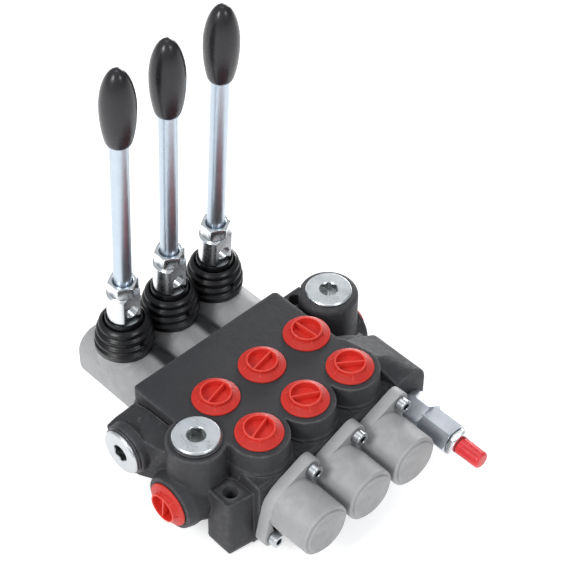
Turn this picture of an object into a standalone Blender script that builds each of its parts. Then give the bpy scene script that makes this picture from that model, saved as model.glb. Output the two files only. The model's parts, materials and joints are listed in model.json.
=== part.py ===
"""Three-spool hydraulic monoblock valve with hand levers.

One cast block carries three spools side by side. Each spool is centred by a spring under an
aluminium end cap at the front and moved by a ball-jointed lever at the back. Work ports A and B
open upwards, inlet P opens to the left, outlet T to the right, and a relief valve stands beside
the end caps. Metres, +Z up. X runs along the row of spools, Y runs along each spool from the end
caps (-Y) to the levers (+Y), and the origin is in the base plane under the middle of the ports.
"""

import math

import bmesh
import bpy
from mathutils import Matrix, Vector

# ---- driving dimensions ------------------------------------------------------------------
GAP = 0.0003                      # clearance between pieces that rest on each other
SPOOL_PITCH = 0.036
SPOOL_X = (-SPOOL_PITCH, 0.0, SPOOL_PITCH)
SPOOL_Z = 0.0335                  # height of the spool axes
SPOOL_R = 0.00885
SPOOL_BORE_R = 0.00915

DECK_Z = 0.0715                   # plane of the work ports
PORT_Y = 0.018                    # A ports at +PORT_Y, B ports at -PORT_Y
PORT_BORE_R = 0.0094
PORT_BOSS_R = 0.0178
FRONT_Y = -0.0372                 # face the end caps bolt to
BACK_Y = 0.057                    # face the lever boxes bolt to
DECK_X = (-0.065, 0.0476)         # left and right edge of the deck
LEDGE_BACK_Z = 0.057              # sloped shelf in front of the deck
LEDGE_FRONT_Z = 0.053
BLOCK_X = (-0.054, 0.056)

INLET_XY = (-0.0643, 0.0031)      # vertical plug boss over the inlet P
INLET_FACE_X = -0.0866
OUTLET_XY = (0.0699, 0.0337)      # vertical plug boss over the outlet T
OUTLET_BOSS_R = 0.0181
OUTLET_TOP_Z = 0.0730
OUTLET_SEAT_Z = 0.0716            # the plug over the outlet sits in a counterbore
OUTLET_FACE_X = 0.0885
GALLERY_Z = 0.0326                # height of the P and T ports
SIDE_PORT_YZ = (0.038, 0.0510)    # plugged carry-over port on the left
SIDE_FACE_X = -0.0885

SIDE_BLOCK = (                    # corners of the block that carries the carry-over port
    (-0.0868, 0.0556, 0.0566), (-0.0800, 0.0562, 0.0576), (-0.0600, 0.0565, 0.0582),
    (-0.0600, 0.0460, 0.0636), (-0.0600, 0.0180, 0.0652), (-0.0834, 0.0310, 0.0626),
    (-0.0796, 0.0140, 0.0628), (-0.0856, 0.0400, 0.0605), (-0.0600, 0.0140, 0.0640),
    (-0.0865, 0.0550, 0.0390), (-0.0865, 0.0500, 0.0340), (-0.0865, 0.0300, 0.0340),
    (-0.0786, 0.0140, 0.0340), (-0.0600, 0.0140, 0.0340), (-0.0600, 0.0565, 0.0340))
# front-left mounting ear, in plan
EAR_OUTLINE = ((-0.0711, -0.0298), (-0.0530, -0.0326), (-0.0540, -0.0120), (-0.0707, -0.0102))
EAR_Z = 0.0456
EAR_HOLE_XY = (-0.0622, -0.0222)
REAR_EAR_Z = 0.0615
REAR_EAR_HOLE_XY = (0.0582, 0.0500)
MOUNT_HOLE_R = 0.0045

RELIEF_X = 0.0665                 # axis of the relief valve
RELIEF_Z = 0.0309
RELIEF_FACE_Y = FRONT_Y
RELIEF_BORE_R = 0.0083
FLANK = (                         # y, outer x, and the edge it meets on the deck (x, z)
    (FRONT_Y, 0.0812, 0.0570, 0.0544), (-0.0310, 0.0812, 0.0550, 0.0592),
    (-0.0260, 0.0812, 0.0534, 0.0636), (-0.0200, 0.0812, 0.0504, 0.0688),
    (-0.0120, 0.0812, 0.0460, 0.0708), (0.0016, 0.0812, 0.0430, 0.0712),
    (0.0031, 0.0752, 0.0430, 0.0712), (0.0075, 0.0752, 0.0435, 0.0710))

CAP_R = 0.0170                    # end caps
CAP_END_Y = -0.0735
CAP_FLANGE_T = 0.0075
CAP_SCREW_DX = 0.0150             # screws sit on a slanting line through the axis
CAP_SCREW_DZ = 0.0178

BOX_HALF_W = 0.0177               # lever boxes
BOX_TOP_Z = 0.0545
BOX_BOTTOM_Z = SPOOL_Z - BOX_HALF_W
BOX_END_Y = 0.1235
BOX_PAD_R = 0.0174                # round seat of the rubber boot
BOX_SCREWS = ((0.0114, 0.0132), (-0.0114, 0.0132), (0.0092, -0.0104), (-0.0092, -0.0104))
SCREW_ENGAGEMENT = 0.008          # how far fixing screws reach into the body

LEVER_Y = 0.1000                  # lever pivots
LEVER_Z = 0.0520
LEVER_LEAN = (0.0567, 0.0480, 0.0640)     # radians each lever rests towards the ports
LEVER_SCREW_OUT = (0.0, -0.0008, 0.0052)  # how far each rod is screwed out of its hub
BALL_R = 0.0080
HUB_R = 0.0100
HUB_TOP = 0.0486                  # distances along the lever, from its pivot
NUT_TOP = 0.0574
ROD_R = 0.0054
KNOB_BASE = 0.1657
KNOB_TOP = 0.2167
KNOB_R = 0.0105
KNOB_BASE_R = 0.0065

CHECK_Y = 0.0120                  # load check valves under each spool
COARSE = 12                       # sides of small, middling and large round pieces
MEDIUM = 16
FINE = 20
SHARP_ANGLE = math.radians(35)
FLAT_ANGLE = math.radians(0.5)

# name: (colour, roughness, metallic)
FINISHES = {
    "painted_iron": ((0.075, 0.075, 0.082), 0.5, 0.2),
    "cast_aluminium": ((0.50, 0.50, 0.51), 0.5, 0.7),
    "zinc_steel": ((0.72, 0.73, 0.76), 0.25, 1.0),
    "chrome": ((0.80, 0.82, 0.85), 0.08, 1.0),
    "ground_steel": ((0.60, 0.60, 0.62), 0.2, 1.0),
    "spring_steel": ((0.30, 0.30, 0.32), 0.35, 1.0),
    "red_plastic": ((0.80, 0.045, 0.025), 0.4, 0.0),
    "red_vinyl": ((0.75, 0.03, 0.05), 0.3, 0.0),
    "black_rubber": ((0.012, 0.012, 0.014), 0.35, 0.0),
    "black_plastic": ((0.02, 0.02, 0.023), 0.3, 0.0),
}


# ---- modelling helpers -------------------------------------------------------------------
def clear_scene():
    for obj in list(bpy.data.objects):
        bpy.data.objects.remove(obj, do_unlink=True)


def finish(name):
    """The named finish as a Principled material, made once."""
    if name in bpy.data.materials:
        return bpy.data.materials[name]
    colour, roughness, metallic = FINISHES[name]
    material = bpy.data.materials.new(name)
    material.use_nodes = True
    shader = material.node_tree.nodes["Principled BSDF"]
    shader.inputs["Base Color"].default_value = (*colour, 1.0)
    shader.inputs["Roughness"].default_value = roughness
    shader.inputs["Metallic"].default_value = metallic
    return material


def make_object(name, mesh_builder, finish_name, location=(0, 0, 0), parent=None):
    """Turn a finished bmesh into a smooth-shaded object with its material."""
    bmesh.ops.recalc_face_normals(mesh_builder, faces=mesh_builder.faces)
    for face in mesh_builder.faces:
        face.smooth = any(FLAT_ANGLE < edge.calc_face_angle(0) < SHARP_ANGLE
                          for edge in face.edges)
    mesh = bpy.data.meshes.new(name)
    mesh_builder.to_mesh(mesh)
    mesh_builder.free()
    mesh.set_sharp_from_angle(angle=SHARP_ANGLE)
    mesh.materials.append(finish(finish_name))
    obj = bpy.data.objects.new(name, mesh)
    bpy.context.scene.collection.objects.link(obj)
    obj.location = location
    obj.parent = parent
    return obj


def pivot(name, location, rotation=(0, 0, 0)):
    """An empty that marks a joint and carries the pieces that move about it."""
    empty = bpy.data.objects.new(name, None)
    bpy.context.scene.collection.objects.link(empty)
    empty.location = location
    empty.rotation_euler = rotation
    return empty


def add_turned(bm, profile, centre=(0, 0, 0), axis=(0, 0, 1), segments=MEDIUM, closed=False):
    """Revolve (radius, height) points about an axis; a closed profile makes a ring."""
    turn = Vector((0, 0, 1)).rotation_difference(Vector(axis)).to_matrix()
    rings = []
    for radius, height in profile:
        if radius < 1e-7:
            rings.append([bm.verts.new(turn @ Vector((0, 0, height)) + Vector(centre))])
            continue
        ring = []
        for k in range(segments):
            angle = 2 * math.pi * (k + 0.5) / segments
            point = Vector((radius * math.cos(angle), radius * math.sin(angle), height))
            ring.append(bm.verts.new(turn @ point + Vector(centre)))
        rings.append(ring)
    pairs = list(zip(rings, rings[1:]))
    if closed:
        pairs.append((rings[-1], rings[0]))
    for lower, upper in pairs:
        if len(lower) == len(upper) == 1:
            continue
        for k in range(segments):
            after = (k + 1) % segments
            if len(lower) == 1:
                bm.faces.new((lower[0], upper[after], upper[k]))
            elif len(upper) == 1:
                bm.faces.new((lower[k], lower[after], upper[0]))
            else:
                bm.faces.new((lower[k], lower[after], upper[after], upper[k]))
    if not closed:
        for end in (rings[0], rings[-1]):
            if len(end) > 1:
                bm.faces.new(end)


def add_prism(bm, outline, low, high, frame=None):
    """Extrude a plan outline between two heights; frame turns it into another plane."""
    frame = frame or Matrix.Identity(4)
    bottom = [bm.verts.new(frame @ Vector((x, y, low))) for x, y in outline]
    top = [bm.verts.new(frame @ Vector((x, y, high))) for x, y in outline]
    bm.faces.new(bottom)
    bm.faces.new(top)
    for k in range(len(outline)):
        after = (k + 1) % len(outline)
        bm.faces.new((bottom[k], bottom[after], top[after], top[k]))


def add_box(bm, low, high):
    outline = [(low[0], low[1]), (high[0], low[1]), (high[0], high[1]), (low[0], high[1])]
    add_prism(bm, outline, low[2], high[2])


def add_coil(bm, centre, axis, radius, wire_r, length, turns, sides=4, steps=8):
    """A helical spring of round wire, with capped ends, starting at the centre."""
    turn = Vector((0, 0, 1)).rotation_difference(Vector(axis)).to_matrix()
    count = int(turns * steps)
    rings = []
    for i in range(count + 1):
        angle = 2 * math.pi * turns * i / count
        height = wire_r + (length - 2 * wire_r) * i / count
        outward = Vector((math.cos(angle), math.sin(angle), 0))
        middle = outward * radius + Vector((0, 0, height))
        ring = []
        for k in range(sides):
            around = 2 * math.pi * k / sides
            offset = outward * math.cos(around) + Vector((0, 0, 1)) * math.sin(around)
            ring.append(bm.verts.new(turn @ (middle + offset * wire_r) + Vector(centre)))
        rings.append(ring)
    for before, after in zip(rings, rings[1:]):
        for k in range(sides):
            n = (k + 1) % sides
            bm.faces.new((before[k], before[n], after[n], after[k]))
    bm.faces.new(rings[0])
    bm.faces.new(rings[-1])


def arc(centre, radius, start_deg, end_deg, steps):
    """Points along a plan arc, both ends included."""
    points = []
    for i in range(steps + 1):
        angle = math.radians(start_deg + (end_deg - start_deg) * i / steps)
        points.append((centre[0] + radius * math.cos(angle), centre[1] + radius * math.sin(angle)))
    return points


def hexagon(across_flats, start_deg=0.0):
    radius = across_flats / math.sqrt(3)
    return arc((0, 0), radius, start_deg, start_deg + 300, 5)


def section_frame(axis, origin=(0, 0, 0)):
    """Maps plan (x, y, z) to a section: 'X' gives (z, x, y) and 'Y' gives (x, -z, y)."""
    if axis == "X":
        columns = ((0, 1, 0), (0, 0, 1), (1, 0, 0))
    else:
        columns = ((1, 0, 0), (0, 0, 1), (0, -1, 0))
    matrix = Matrix(columns).transposed().to_4x4()
    matrix.translation = origin
    return matrix


def boolean(target, operand, operation, solver="EXACT"):
    """Join or cut with an operand that the build leaves out."""
    operand.hide_render = True
    operand.display_type = "WIRE"
    modifier = target.modifiers.new(operand.name, "BOOLEAN")
    modifier.object = operand
    modifier.operation = operation
    modifier.solver = solver


def tool_from(name, add, *args, **options):
    """A helper solid made by one of the add_ functions."""
    bm = bmesh.new()
    add(bm, *args, **options)
    return make_object(name, bm, "painted_iron")


# ---- valve body --------------------------------------------------------------------------
def deck_outline():
    """The deck in plan: square at the back, one round lobe for each B port at the front."""
    left, right = DECK_X
    points = [(left, 0.010), (BLOCK_X[0], 0.0)]
    for x in SPOOL_X:
        points += arc((x, -PORT_Y), PORT_BOSS_R, 180, 360, 10)
    points += [(0.0500, 0.0), (right, 0.003)]
    points += arc((right - 0.003, BACK_Y - 0.003), 0.003, 0, 90, 3)
    points += arc((left + 0.002, BACK_Y - 0.002), 0.002, 90, 180, 2)
    return points


def ledge_section():
    """The main block seen from the side, as (y, z), with its sloping front shelf."""
    return [
        (-0.0320, 0.0), (BACK_Y, 0.0), (BACK_Y, 0.0500), (-0.0050, LEDGE_BACK_Z + 0.0015),
        (FRONT_Y + 0.0025, LEDGE_FRONT_Z), (FRONT_Y, LEDGE_FRONT_Z - 0.0025),
        (FRONT_Y, 0.0100), (-0.0345, 0.0065),
    ]


def add_flank(bm):
    """The rounded ridge over the relief valve, with the shoulder that climbs to the deck."""
    rings = []
    for y, outer, inner, top in FLANK:
        ring = [(0.0500, 0.0160), (0.0750, 0.0160), (outer, 0.0220)]
        ring += arc((outer - 0.013, 0.0445), 0.013, 0, 66, 4)
        ring.append((inner, top))
        rings.append([bm.verts.new((x, y, z)) for x, z in ring])
    for before, after in zip(rings, rings[1:]):
        for k in range(len(before)):
            n = (k + 1) % len(before)
            bm.faces.new((before[k], before[n], after[n], after[k]))
    bm.faces.new(rings[0])
    bm.faces.new(rings[-1])


def add_hull(bm, points):
    """The convex solid round a set of points."""
    corners = [bm.verts.new(point) for point in points]
    bmesh.ops.convex_hull(bm, input=corners)
    loose = [vert for vert in bm.verts if not vert.link_faces]
    bmesh.ops.delete(bm, geom=loose, context="VERTS")


def add_screw_bosses(bm):
    """Low swellings of the shelf round the upper cap screws."""
    boss = [(0, 0), (0.0033, 0), (0.0033, 0.0065), (0, 0.0065)]
    for x in SPOOL_X:
        add_turned(bm, boss, (x + CAP_SCREW_DX, FRONT_Y, SPOOL_Z + CAP_SCREW_DZ), (0, 1, 0), COARSE)


def body_additions():
    """Solids that are joined to the main block."""
    inlet_x, inlet_y = INLET_XY
    outlet_x, outlet_y = OUTLET_XY
    side_y, side_z = SIDE_PORT_YZ
    yield tool_from("add_deck", add_prism, deck_outline(), 0.0480, DECK_Z)
    yield tool_from("add_left_wall", add_box, (DECK_X[0], 0.0, 0.0), (-0.050, BACK_Y, 0.060))
    inlet = [(0, 0.020), (PORT_BOSS_R, 0.020), (PORT_BOSS_R, DECK_Z - 0.001),
             (PORT_BOSS_R - 0.001, DECK_Z), (0, DECK_Z)]
    yield tool_from("add_inlet_boss", add_turned, inlet, (inlet_x, inlet_y, 0.0), segments=FINE)
    outlet = [(0, 0), (OUTLET_BOSS_R, 0), (OUTLET_BOSS_R, OUTLET_TOP_Z - 0.0025),
              (OUTLET_BOSS_R - 0.001, OUTLET_TOP_Z - 0.0008), (OUTLET_BOSS_R - 0.0025, OUTLET_TOP_Z),
              (0, OUTLET_TOP_Z)]
    yield tool_from("add_outlet_boss", add_turned, outlet, (outlet_x, outlet_y, 0.0),
                    segments=FINE)
    port_p = [(0, 0), (0.0185, 0), (0.0185, 0.0285), (0.0175, 0.030), (0, 0.030)]
    yield tool_from("add_port_p", add_turned, port_p, (INLET_FACE_X + 0.030, inlet_y, GALLERY_Z),
                    (-1, 0, 0), MEDIUM)
    port_t = [(0, 0), (0.0180, 0), (0.0180, 0.0285), (0.0170, 0.030), (0, 0.030)]
    yield tool_from("add_port_t", add_turned, port_t,
                    (OUTLET_FACE_X - 0.030, outlet_y, GALLERY_Z), (1, 0, 0), MEDIUM)
    yield tool_from("add_side_block", add_hull, SIDE_BLOCK)
    side = [(0, 0), (0.0159, 0), (0.0159, 0.0270), (0.0149, 0.0285), (0, 0.0285)]
    yield tool_from("add_side_boss", add_turned, side, (SIDE_FACE_X + 0.0285, side_y, side_z),
                    (-1, 0, 0), MEDIUM)
    yield tool_from("add_front_ear", add_prism, EAR_OUTLINE, 0.0, EAR_Z)
    yield tool_from("add_rear_ear", add_box, (0.040, 0.040, 0.0), (0.0680, BACK_Y, REAR_EAR_Z))
    yield tool_from("add_flank", add_flank)
    yield tool_from("add_screw_bosses", add_screw_bosses)
    yield tool_from("add_front_web", add_box, (0.050, -0.010, 0.0), (0.0715, 0.0090, 0.0550))
    yield tool_from("add_right_web", add_box, (0.050, 0.0080, 0.0), (0.0715, 0.0480, 0.0420))


def body_cuts():
    """Bores and galleries, each as a helper solid."""
    inlet_x, inlet_y = INLET_XY
    outlet_x, outlet_y = OUTLET_XY
    side_y, side_z = SIDE_PORT_YZ
    reach = 0.002
    for number, x in enumerate(SPOOL_X, 1):
        spool_bore = [(0, 0), (SPOOL_BORE_R, 0), (SPOOL_BORE_R, 0.100), (0, 0.100)]
        yield tool_from(f"cut_spool_{number}", add_turned, spool_bore,
                        (x, FRONT_Y - reach, SPOOL_Z), (0, 1, 0), MEDIUM)
        for side, y in (("a", PORT_Y), ("b", -PORT_Y)):
            port = [(0, 0), (0.0060, 0), (0.0060, 0.0150), (PORT_BORE_R, 0.0200),
                    (PORT_BORE_R, 0.040), (0, 0.040)]
            yield tool_from(f"cut_port_{side}{number}", add_turned, port,
                            (x, y, SPOOL_Z + 0.004), segments=MEDIUM)
        check = [(0, 0), (0.0075, 0), (0.0075, 0.0200), (0.0045, 0.0200), (0.0045, 0.0270),
                 (0, 0.0270)]
        yield tool_from(f"cut_check_{number}", add_turned, check, (x, CHECK_Y, -0.001),
                        segments=COARSE)
    deep = [(0, 0), (PORT_BORE_R, 0), (PORT_BORE_R, 0.0360), (0, 0.0360)]
    yield tool_from("cut_port_p", add_turned, deep, (INLET_FACE_X - reach, inlet_y, GALLERY_Z),
                    (1, 0, 0), MEDIUM)
    yield tool_from("cut_port_t", add_turned, deep, (OUTLET_FACE_X + reach, outlet_y, GALLERY_Z),
                    (-1, 0, 0), MEDIUM)
    yield tool_from("cut_inlet_top", add_turned, deep, (inlet_x, inlet_y, DECK_Z + reach),
                    (0, 0, -1), MEDIUM)
    seat = reach + OUTLET_TOP_Z - OUTLET_SEAT_Z
    stepped = [(0, 0), (0.0146, 0), (0.0146, seat), (PORT_BORE_R, seat), (PORT_BORE_R, 0.0360),
               (0, 0.0360)]
    yield tool_from("cut_outlet_top", add_turned, stepped,
                    (outlet_x, outlet_y, OUTLET_TOP_Z + reach), (0, 0, -1), MEDIUM)
    yield tool_from("cut_side_port", add_turned, deep, (SIDE_FACE_X - reach, side_y, side_z),
                    (1, 0, 0), MEDIUM)
    relief = [(0, 0), (RELIEF_BORE_R, 0), (RELIEF_BORE_R, 0.0300), (0.0045, 0.0300),
              (0.0045, 0.0700), (0, 0.0700)]
    yield tool_from("cut_relief", add_turned, relief, (RELIEF_X, RELIEF_FACE_Y - reach, RELIEF_Z),
                    (0, 1, 0), MEDIUM)
    yield tool_from("cut_fixing_holes", add_fixing_holes)


def add_fixing_holes(bm):
    """The two mounting holes and the tapped holes behind the end caps and lever boxes."""
    hole = [(0, 0), (MOUNT_HOLE_R, 0), (MOUNT_HOLE_R, 0.080), (0, 0.080)]
    for x, y in (EAR_HOLE_XY, REAR_EAR_HOLE_XY):
        add_turned(bm, hole, (x, y, -0.002), segments=COARSE)
    depth = SCREW_ENGAGEMENT + 0.002
    cap_hole = [(0, 0), (0.0025, 0), (0.0025, depth), (0, depth)]
    box_hole = [(0, 0), (0.0023, 0), (0.0023, depth), (0, depth)]
    for x in SPOOL_X:
        for sign in (1, -1):
            place = (x + sign * CAP_SCREW_DX, FRONT_Y - 0.001, SPOOL_Z + sign * CAP_SCREW_DZ)
            add_turned(bm, cap_hole, place, (0, 1, 0), 8)
        for dx, dz in BOX_SCREWS:
            add_turned(bm, box_hole, (x + dx, BACK_Y + 0.001, SPOOL_Z + dz), (0, -1, 0), 8)


def build_body():
    bm = bmesh.new()
    add_prism(bm, ledge_section(), *BLOCK_X, section_frame("X"))
    body = make_object("valve_body", bm, "painted_iron")
    # the crossing galleries leave open edges with the exact solver
    for piece in body_additions():
        boolean(body, piece, "UNION")
    for piece in body_cuts():
        boolean(body, piece, "DIFFERENCE", "MANIFOLD")
    return body


# ---- plugs -------------------------------------------------------------------------------
def build_transport_plug(name, location, axis, bar_deg):
    """Red push-in plug: sloped rim, raised cup, and one grip bar across the cup."""
    cup_r, cup_wall, cup_top, floor = 0.0093, 0.0011, 0.0052, 0.0004
    bm = bmesh.new()
    add_turned(bm, [
        (0, floor), (cup_r - cup_wall, floor), (cup_r - cup_wall, cup_top), (cup_r, cup_top),
        (cup_r + 0.0003, 0.0028), (0.01385, 0.0014), (0.01425, GAP), (0.0089, GAP),
        (0.0089, -0.009), (0.0080, -0.010), (0, -0.010)])
    plug = make_object(name, bm, "red_plastic")
    bar = tool_from(name + "_bar", add_box, (-cup_r + 0.0005, -0.0006, -0.001),
                    (cup_r - 0.0005, 0.0006, cup_top - 0.0004))
    bar.rotation_euler.z = math.radians(bar_deg)
    bar.parent = plug
    boolean(plug, bar, "UNION")
    plug.rotation_mode = "QUATERNION"
    plug.rotation_quaternion = Vector((0, 0, 1)).rotation_difference(Vector(axis))
    plug.location = location
    return plug


def build_steel_plug(name, face, axis, head_height):
    """Zinc-plated screw plug with a hexagon socket, its head resting on a sealing washer."""
    head_r, socket = 0.0140, 0.0100
    bm = bmesh.new()
    add_turned(bm, [
        (0, head_height), (head_r - 0.0008, head_height), (head_r, head_height - 0.0008),
        (head_r, 0.0018), (head_r - 0.0004, 0.0014), (0.0088, 0.0014), (0.0088, -0.0120),
        (0, -0.0120)], segments=FINE)
    plug = make_object(name, bm, "zinc_steel")
    cutter = tool_from(name + "_socket", add_prism, hexagon(socket), head_height - 0.0065,
                       head_height + 0.001)
    cutter.parent = plug
    boolean(plug, cutter, "DIFFERENCE")
    plug.rotation_mode = "QUATERNION"
    plug.rotation_quaternion = Vector((0, 0, 1)).rotation_difference(Vector(axis))
    plug.location = face
    return plug


def build_plugs():
    bar_angles = {"a1": 14, "a2": 11, "a3": -86, "b1": 18, "b2": -29, "b3": -36}
    for number, x in enumerate(SPOOL_X, 1):
        for side, y in (("a", PORT_Y), ("b", -PORT_Y)):
            key = f"{side}{number}"
            build_transport_plug(f"port_plug_{key}", (x, y, DECK_Z), (0, 0, 1), bar_angles[key])
    build_transport_plug("port_plug_p", (INLET_FACE_X, INLET_XY[1], GALLERY_Z), (-1, 0, 0), -6)
    build_transport_plug("port_plug_t", (OUTLET_FACE_X, OUTLET_XY[1], GALLERY_Z), (1, 0, 0), 20)
    build_steel_plug("inlet_top_plug", (*INLET_XY, DECK_Z), (0, 0, 1), 0.0035)
    build_steel_plug("outlet_top_plug", (*OUTLET_XY, OUTLET_SEAT_Z), (0, 0, 1), 0.0032)
    build_steel_plug("side_plug", (SIDE_FACE_X, *SIDE_PORT_YZ), (-1, 0, 0), 0.0035)


# ---- end caps and centring springs -------------------------------------------------------
def cap_flange_outline():
    """Oval two-bolt flange, as (x, z) about the spool axis."""
    tip_r, middle_r = 0.0065, 0.0173
    reach = math.hypot(CAP_SCREW_DX, CAP_SCREW_DZ)
    along = math.degrees(math.atan2(CAP_SCREW_DZ, CAP_SCREW_DX))
    spread = math.degrees(math.acos((middle_r - tip_r) / reach))
    points = []
    for turn in (along, along + 180):
        centre = (reach * math.cos(math.radians(turn)), reach * math.sin(math.radians(turn)))
        points += arc(centre, tip_r, turn - spread, turn + spread, 6)
        points += arc((0, 0), middle_r, turn + spread, turn + 180 - spread, 3)
    return points


def build_end_cap(number, x):
    flange_front = FRONT_Y - GAP - CAP_FLANGE_T
    bm = bmesh.new()
    add_prism(bm, cap_flange_outline(), -(FRONT_Y - GAP), -flange_front,
              section_frame("Y", (x, 0, SPOOL_Z)))
    cap = make_object(f"end_cap_{number}", bm, "cast_aluminium")
    length = FRONT_Y - GAP - 0.004 - CAP_END_Y
    barrel = [(0, 0), (CAP_R, 0), (CAP_R - 0.0004, length - 0.0030),
              (CAP_R - 0.0015, length - 0.0012), (0.0143, length - 0.0010),
              (0.0136, length), (0, length)]
    boolean(cap, tool_from(f"add_barrel_{number}", add_turned, barrel,
                           (x, FRONT_Y - GAP - 0.004, SPOOL_Z), (0, -1, 0), FINE), "UNION")
    hollow = [(0, 0), (0.0136, 0), (0.0136, 0.0350), (0, 0.0350)]
    boolean(cap, tool_from(f"cut_cap_hollow_{number}", add_turned, hollow,
                           (x, FRONT_Y + 0.001, SPOOL_Z), (0, -1, 0), MEDIUM), "DIFFERENCE")
    for sign in (1, -1):
        hole = [(0, 0), (0.0028, 0), (0.0028, 0.0120), (0, 0.0120)]
        place = (x + sign * CAP_SCREW_DX, FRONT_Y + 0.001, SPOOL_Z + sign * CAP_SCREW_DZ)
        boolean(cap, tool_from(f"cut_cap_screw_{number}_{sign}", add_turned, hole, place,
                               (0, -1, 0), COARSE), "DIFFERENCE")


def add_socket_screw(bm, place, axis, head_r, head_h, shank_r, shank_l):
    """Socket-head screw made as one lathe-and-hexagon solid; the axis points out of the head."""
    sides = 12
    socket_r, depth = head_r * 0.55, head_h * 0.55
    turn = Vector((0, 0, 1)).rotation_difference(Vector(axis)).to_matrix()

    def ring(radius, height, hexagonal=False):
        points = []
        for k in range(sides):
            angle = 2 * math.pi * (k + 0.5) / sides
            reach = radius
            if hexagonal:
                reach = radius * math.cos(math.pi / 6) / math.cos(
                    (angle % (math.pi / 3)) - math.pi / 6)
            point = Vector((reach * math.cos(angle), reach * math.sin(angle), height))
            points.append(bm.verts.new(turn @ point + Vector(place)))
        return points

    rings = [ring(socket_r, head_h - depth, True), ring(socket_r, head_h, True),
             ring(head_r - 0.0005, head_h), ring(head_r, head_h - 0.0005), ring(head_r, 0),
             ring(shank_r, 0), ring(shank_r, -shank_l)]
    for lower, upper in zip(rings, rings[1:]):
        for k in range(sides):
            after = (k + 1) % sides
            bm.faces.new((lower[k], lower[after], upper[after], upper[k]))
    bm.faces.new(rings[0])
    bm.faces.new(rings[-1])


def build_cap_screws(number, x):
    for sign, side in ((1, "upper"), (-1, "lower")):
        place = (x + sign * CAP_SCREW_DX, FRONT_Y - 2 * GAP - CAP_FLANGE_T,
                 SPOOL_Z + sign * CAP_SCREW_DZ)
        bm = bmesh.new()
        add_socket_screw(bm, place, (0, -1, 0), 0.00425, 0.0050, 0.0022,
                         CAP_FLANGE_T + SCREW_ENGAGEMENT)
        make_object(f"cap_screw_{number}_{side}", bm, "zinc_steel")


def build_spool(number, x):
    """Spool with lands and grooves, a threaded tail hole and a lever slot at its far end."""
    joint = pivot(f"spool_{number}_axis", (x, 0, SPOOL_Z))
    groove_r, stem_r = 0.0058, 0.0086
    profile = [(0, -0.0375), (SPOOL_R, -0.0375)]
    for start, end in ((-0.0260, -0.0200), (-0.0040, 0.0040), (0.0200, 0.0260)):
        profile += [(SPOOL_R, start), (groove_r, start), (groove_r, end), (SPOOL_R, end)]
    profile += [(SPOOL_R, 0.0490), (stem_r, 0.0490), (stem_r, 0.1080), (0, 0.1080)]
    bm = bmesh.new()
    add_turned(bm, profile, axis=(0, 1, 0), segments=COARSE)
    spool = make_object(f"spool_{number}", bm, "ground_steel", parent=joint)
    slot = tool_from(f"cut_lever_slot_{number}", add_box, (-0.0047, LEVER_Y - 0.0047, -0.012),
                     (0.0047, LEVER_Y + 0.0047, 0.012))
    flare = tool_from(f"cut_lever_flare_{number}", add_box, (-0.0047, LEVER_Y - 0.0070, 0.0030),
                      (0.0047, LEVER_Y + 0.0070, 0.012))
    tail = tool_from(f"cut_tail_hole_{number}", add_turned,
                     [(0, 0), (0.0037, 0), (0.0037, 0.0110), (0, 0.0110)],
                     (0, -0.0385, 0), (0, 1, 0), COARSE)
    for cutter in (slot, flare, tail):
        cutter.parent = joint
        boolean(spool, cutter, "DIFFERENCE")

    bm = bmesh.new()
    add_turned(bm, [(0, -0.0645), (0.0062, -0.0645), (0.0062, -0.0602), (0.0130, -0.0602),
                    (0.0130, -0.0583), (0.0088, -0.0583), (0.0088, -0.0563), (0.0034, -0.0563),
                    (0.0034, -0.0290), (0, -0.0290)], axis=(0, 1, 0), segments=COARSE)
    make_object(f"spring_retainer_{number}", bm, "zinc_steel", parent=joint)

    bm = bmesh.new()
    add_coil(bm, (x, -0.0376, SPOOL_Z), (0, -1, 0), 0.0110, 0.0010, 0.0204, 5)
    make_object(f"centring_spring_{number}", bm, "spring_steel")


# ---- lever boxes and levers --------------------------------------------------------------
def box_outline():
    """Section of a lever box, as (x, z) about its spool axis."""
    w, top = BOX_HALF_W, BOX_TOP_Z - SPOOL_Z
    shoulder, belly = 0.0135, 0.0155
    points = arc((w - shoulder, top - shoulder), shoulder, 0, 90, 5)
    points += arc((-w + shoulder, top - shoulder), shoulder, 90, 180, 5)
    points += arc((-w + belly, -w + belly), belly, 180, 270, 5)
    points += arc((w - belly, -w + belly), belly, 270, 360, 5)
    return points


def build_lever_box(number, x):
    start = BACK_Y + GAP
    frame = section_frame("Y", (x, 0, SPOOL_Z))
    bm = bmesh.new()
    add_prism(bm, box_outline(), -BOX_END_Y, -start, frame)
    box = make_object(f"lever_box_{number}", bm, "cast_aluminium")
    pad = [(0, SPOOL_Z), (BOX_PAD_R, SPOOL_Z), (BOX_PAD_R, BOX_TOP_Z), (0, BOX_TOP_Z)]
    boolean(box, tool_from(f"add_box_pad_{number}", add_turned, pad, (x, LEVER_Y, 0.0),
                           segments=FINE), "UNION")
    cuts = [
        tool_from(f"cut_box_bore_{number}", add_turned,
                  [(0, 0), (0.0095, 0), (0.0095, 0.0600), (0, 0.0600)],
                  (x, start - 0.001, SPOOL_Z), (0, 1, 0), MEDIUM),
        tool_from(f"cut_box_well_{number}", add_turned,
                  [(0, 0), (0.0086, 0), (0.0086, 0.0240), (0, 0.0240)], (x, LEVER_Y, SPOOL_Z)),
    ]
    for k, (dx, dz) in enumerate(BOX_SCREWS):
        cuts.append(tool_from(f"cut_box_screw_{number}_{k}", add_turned,
                              [(0, 0), (0.0023, 0), (0.0023, 0.0700), (0, 0.0700)],
                              (x + dx, start - 0.001, SPOOL_Z + dz), (0, 1, 0), 8))
    for cutter in cuts:
        boolean(box, cutter, "DIFFERENCE")


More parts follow.
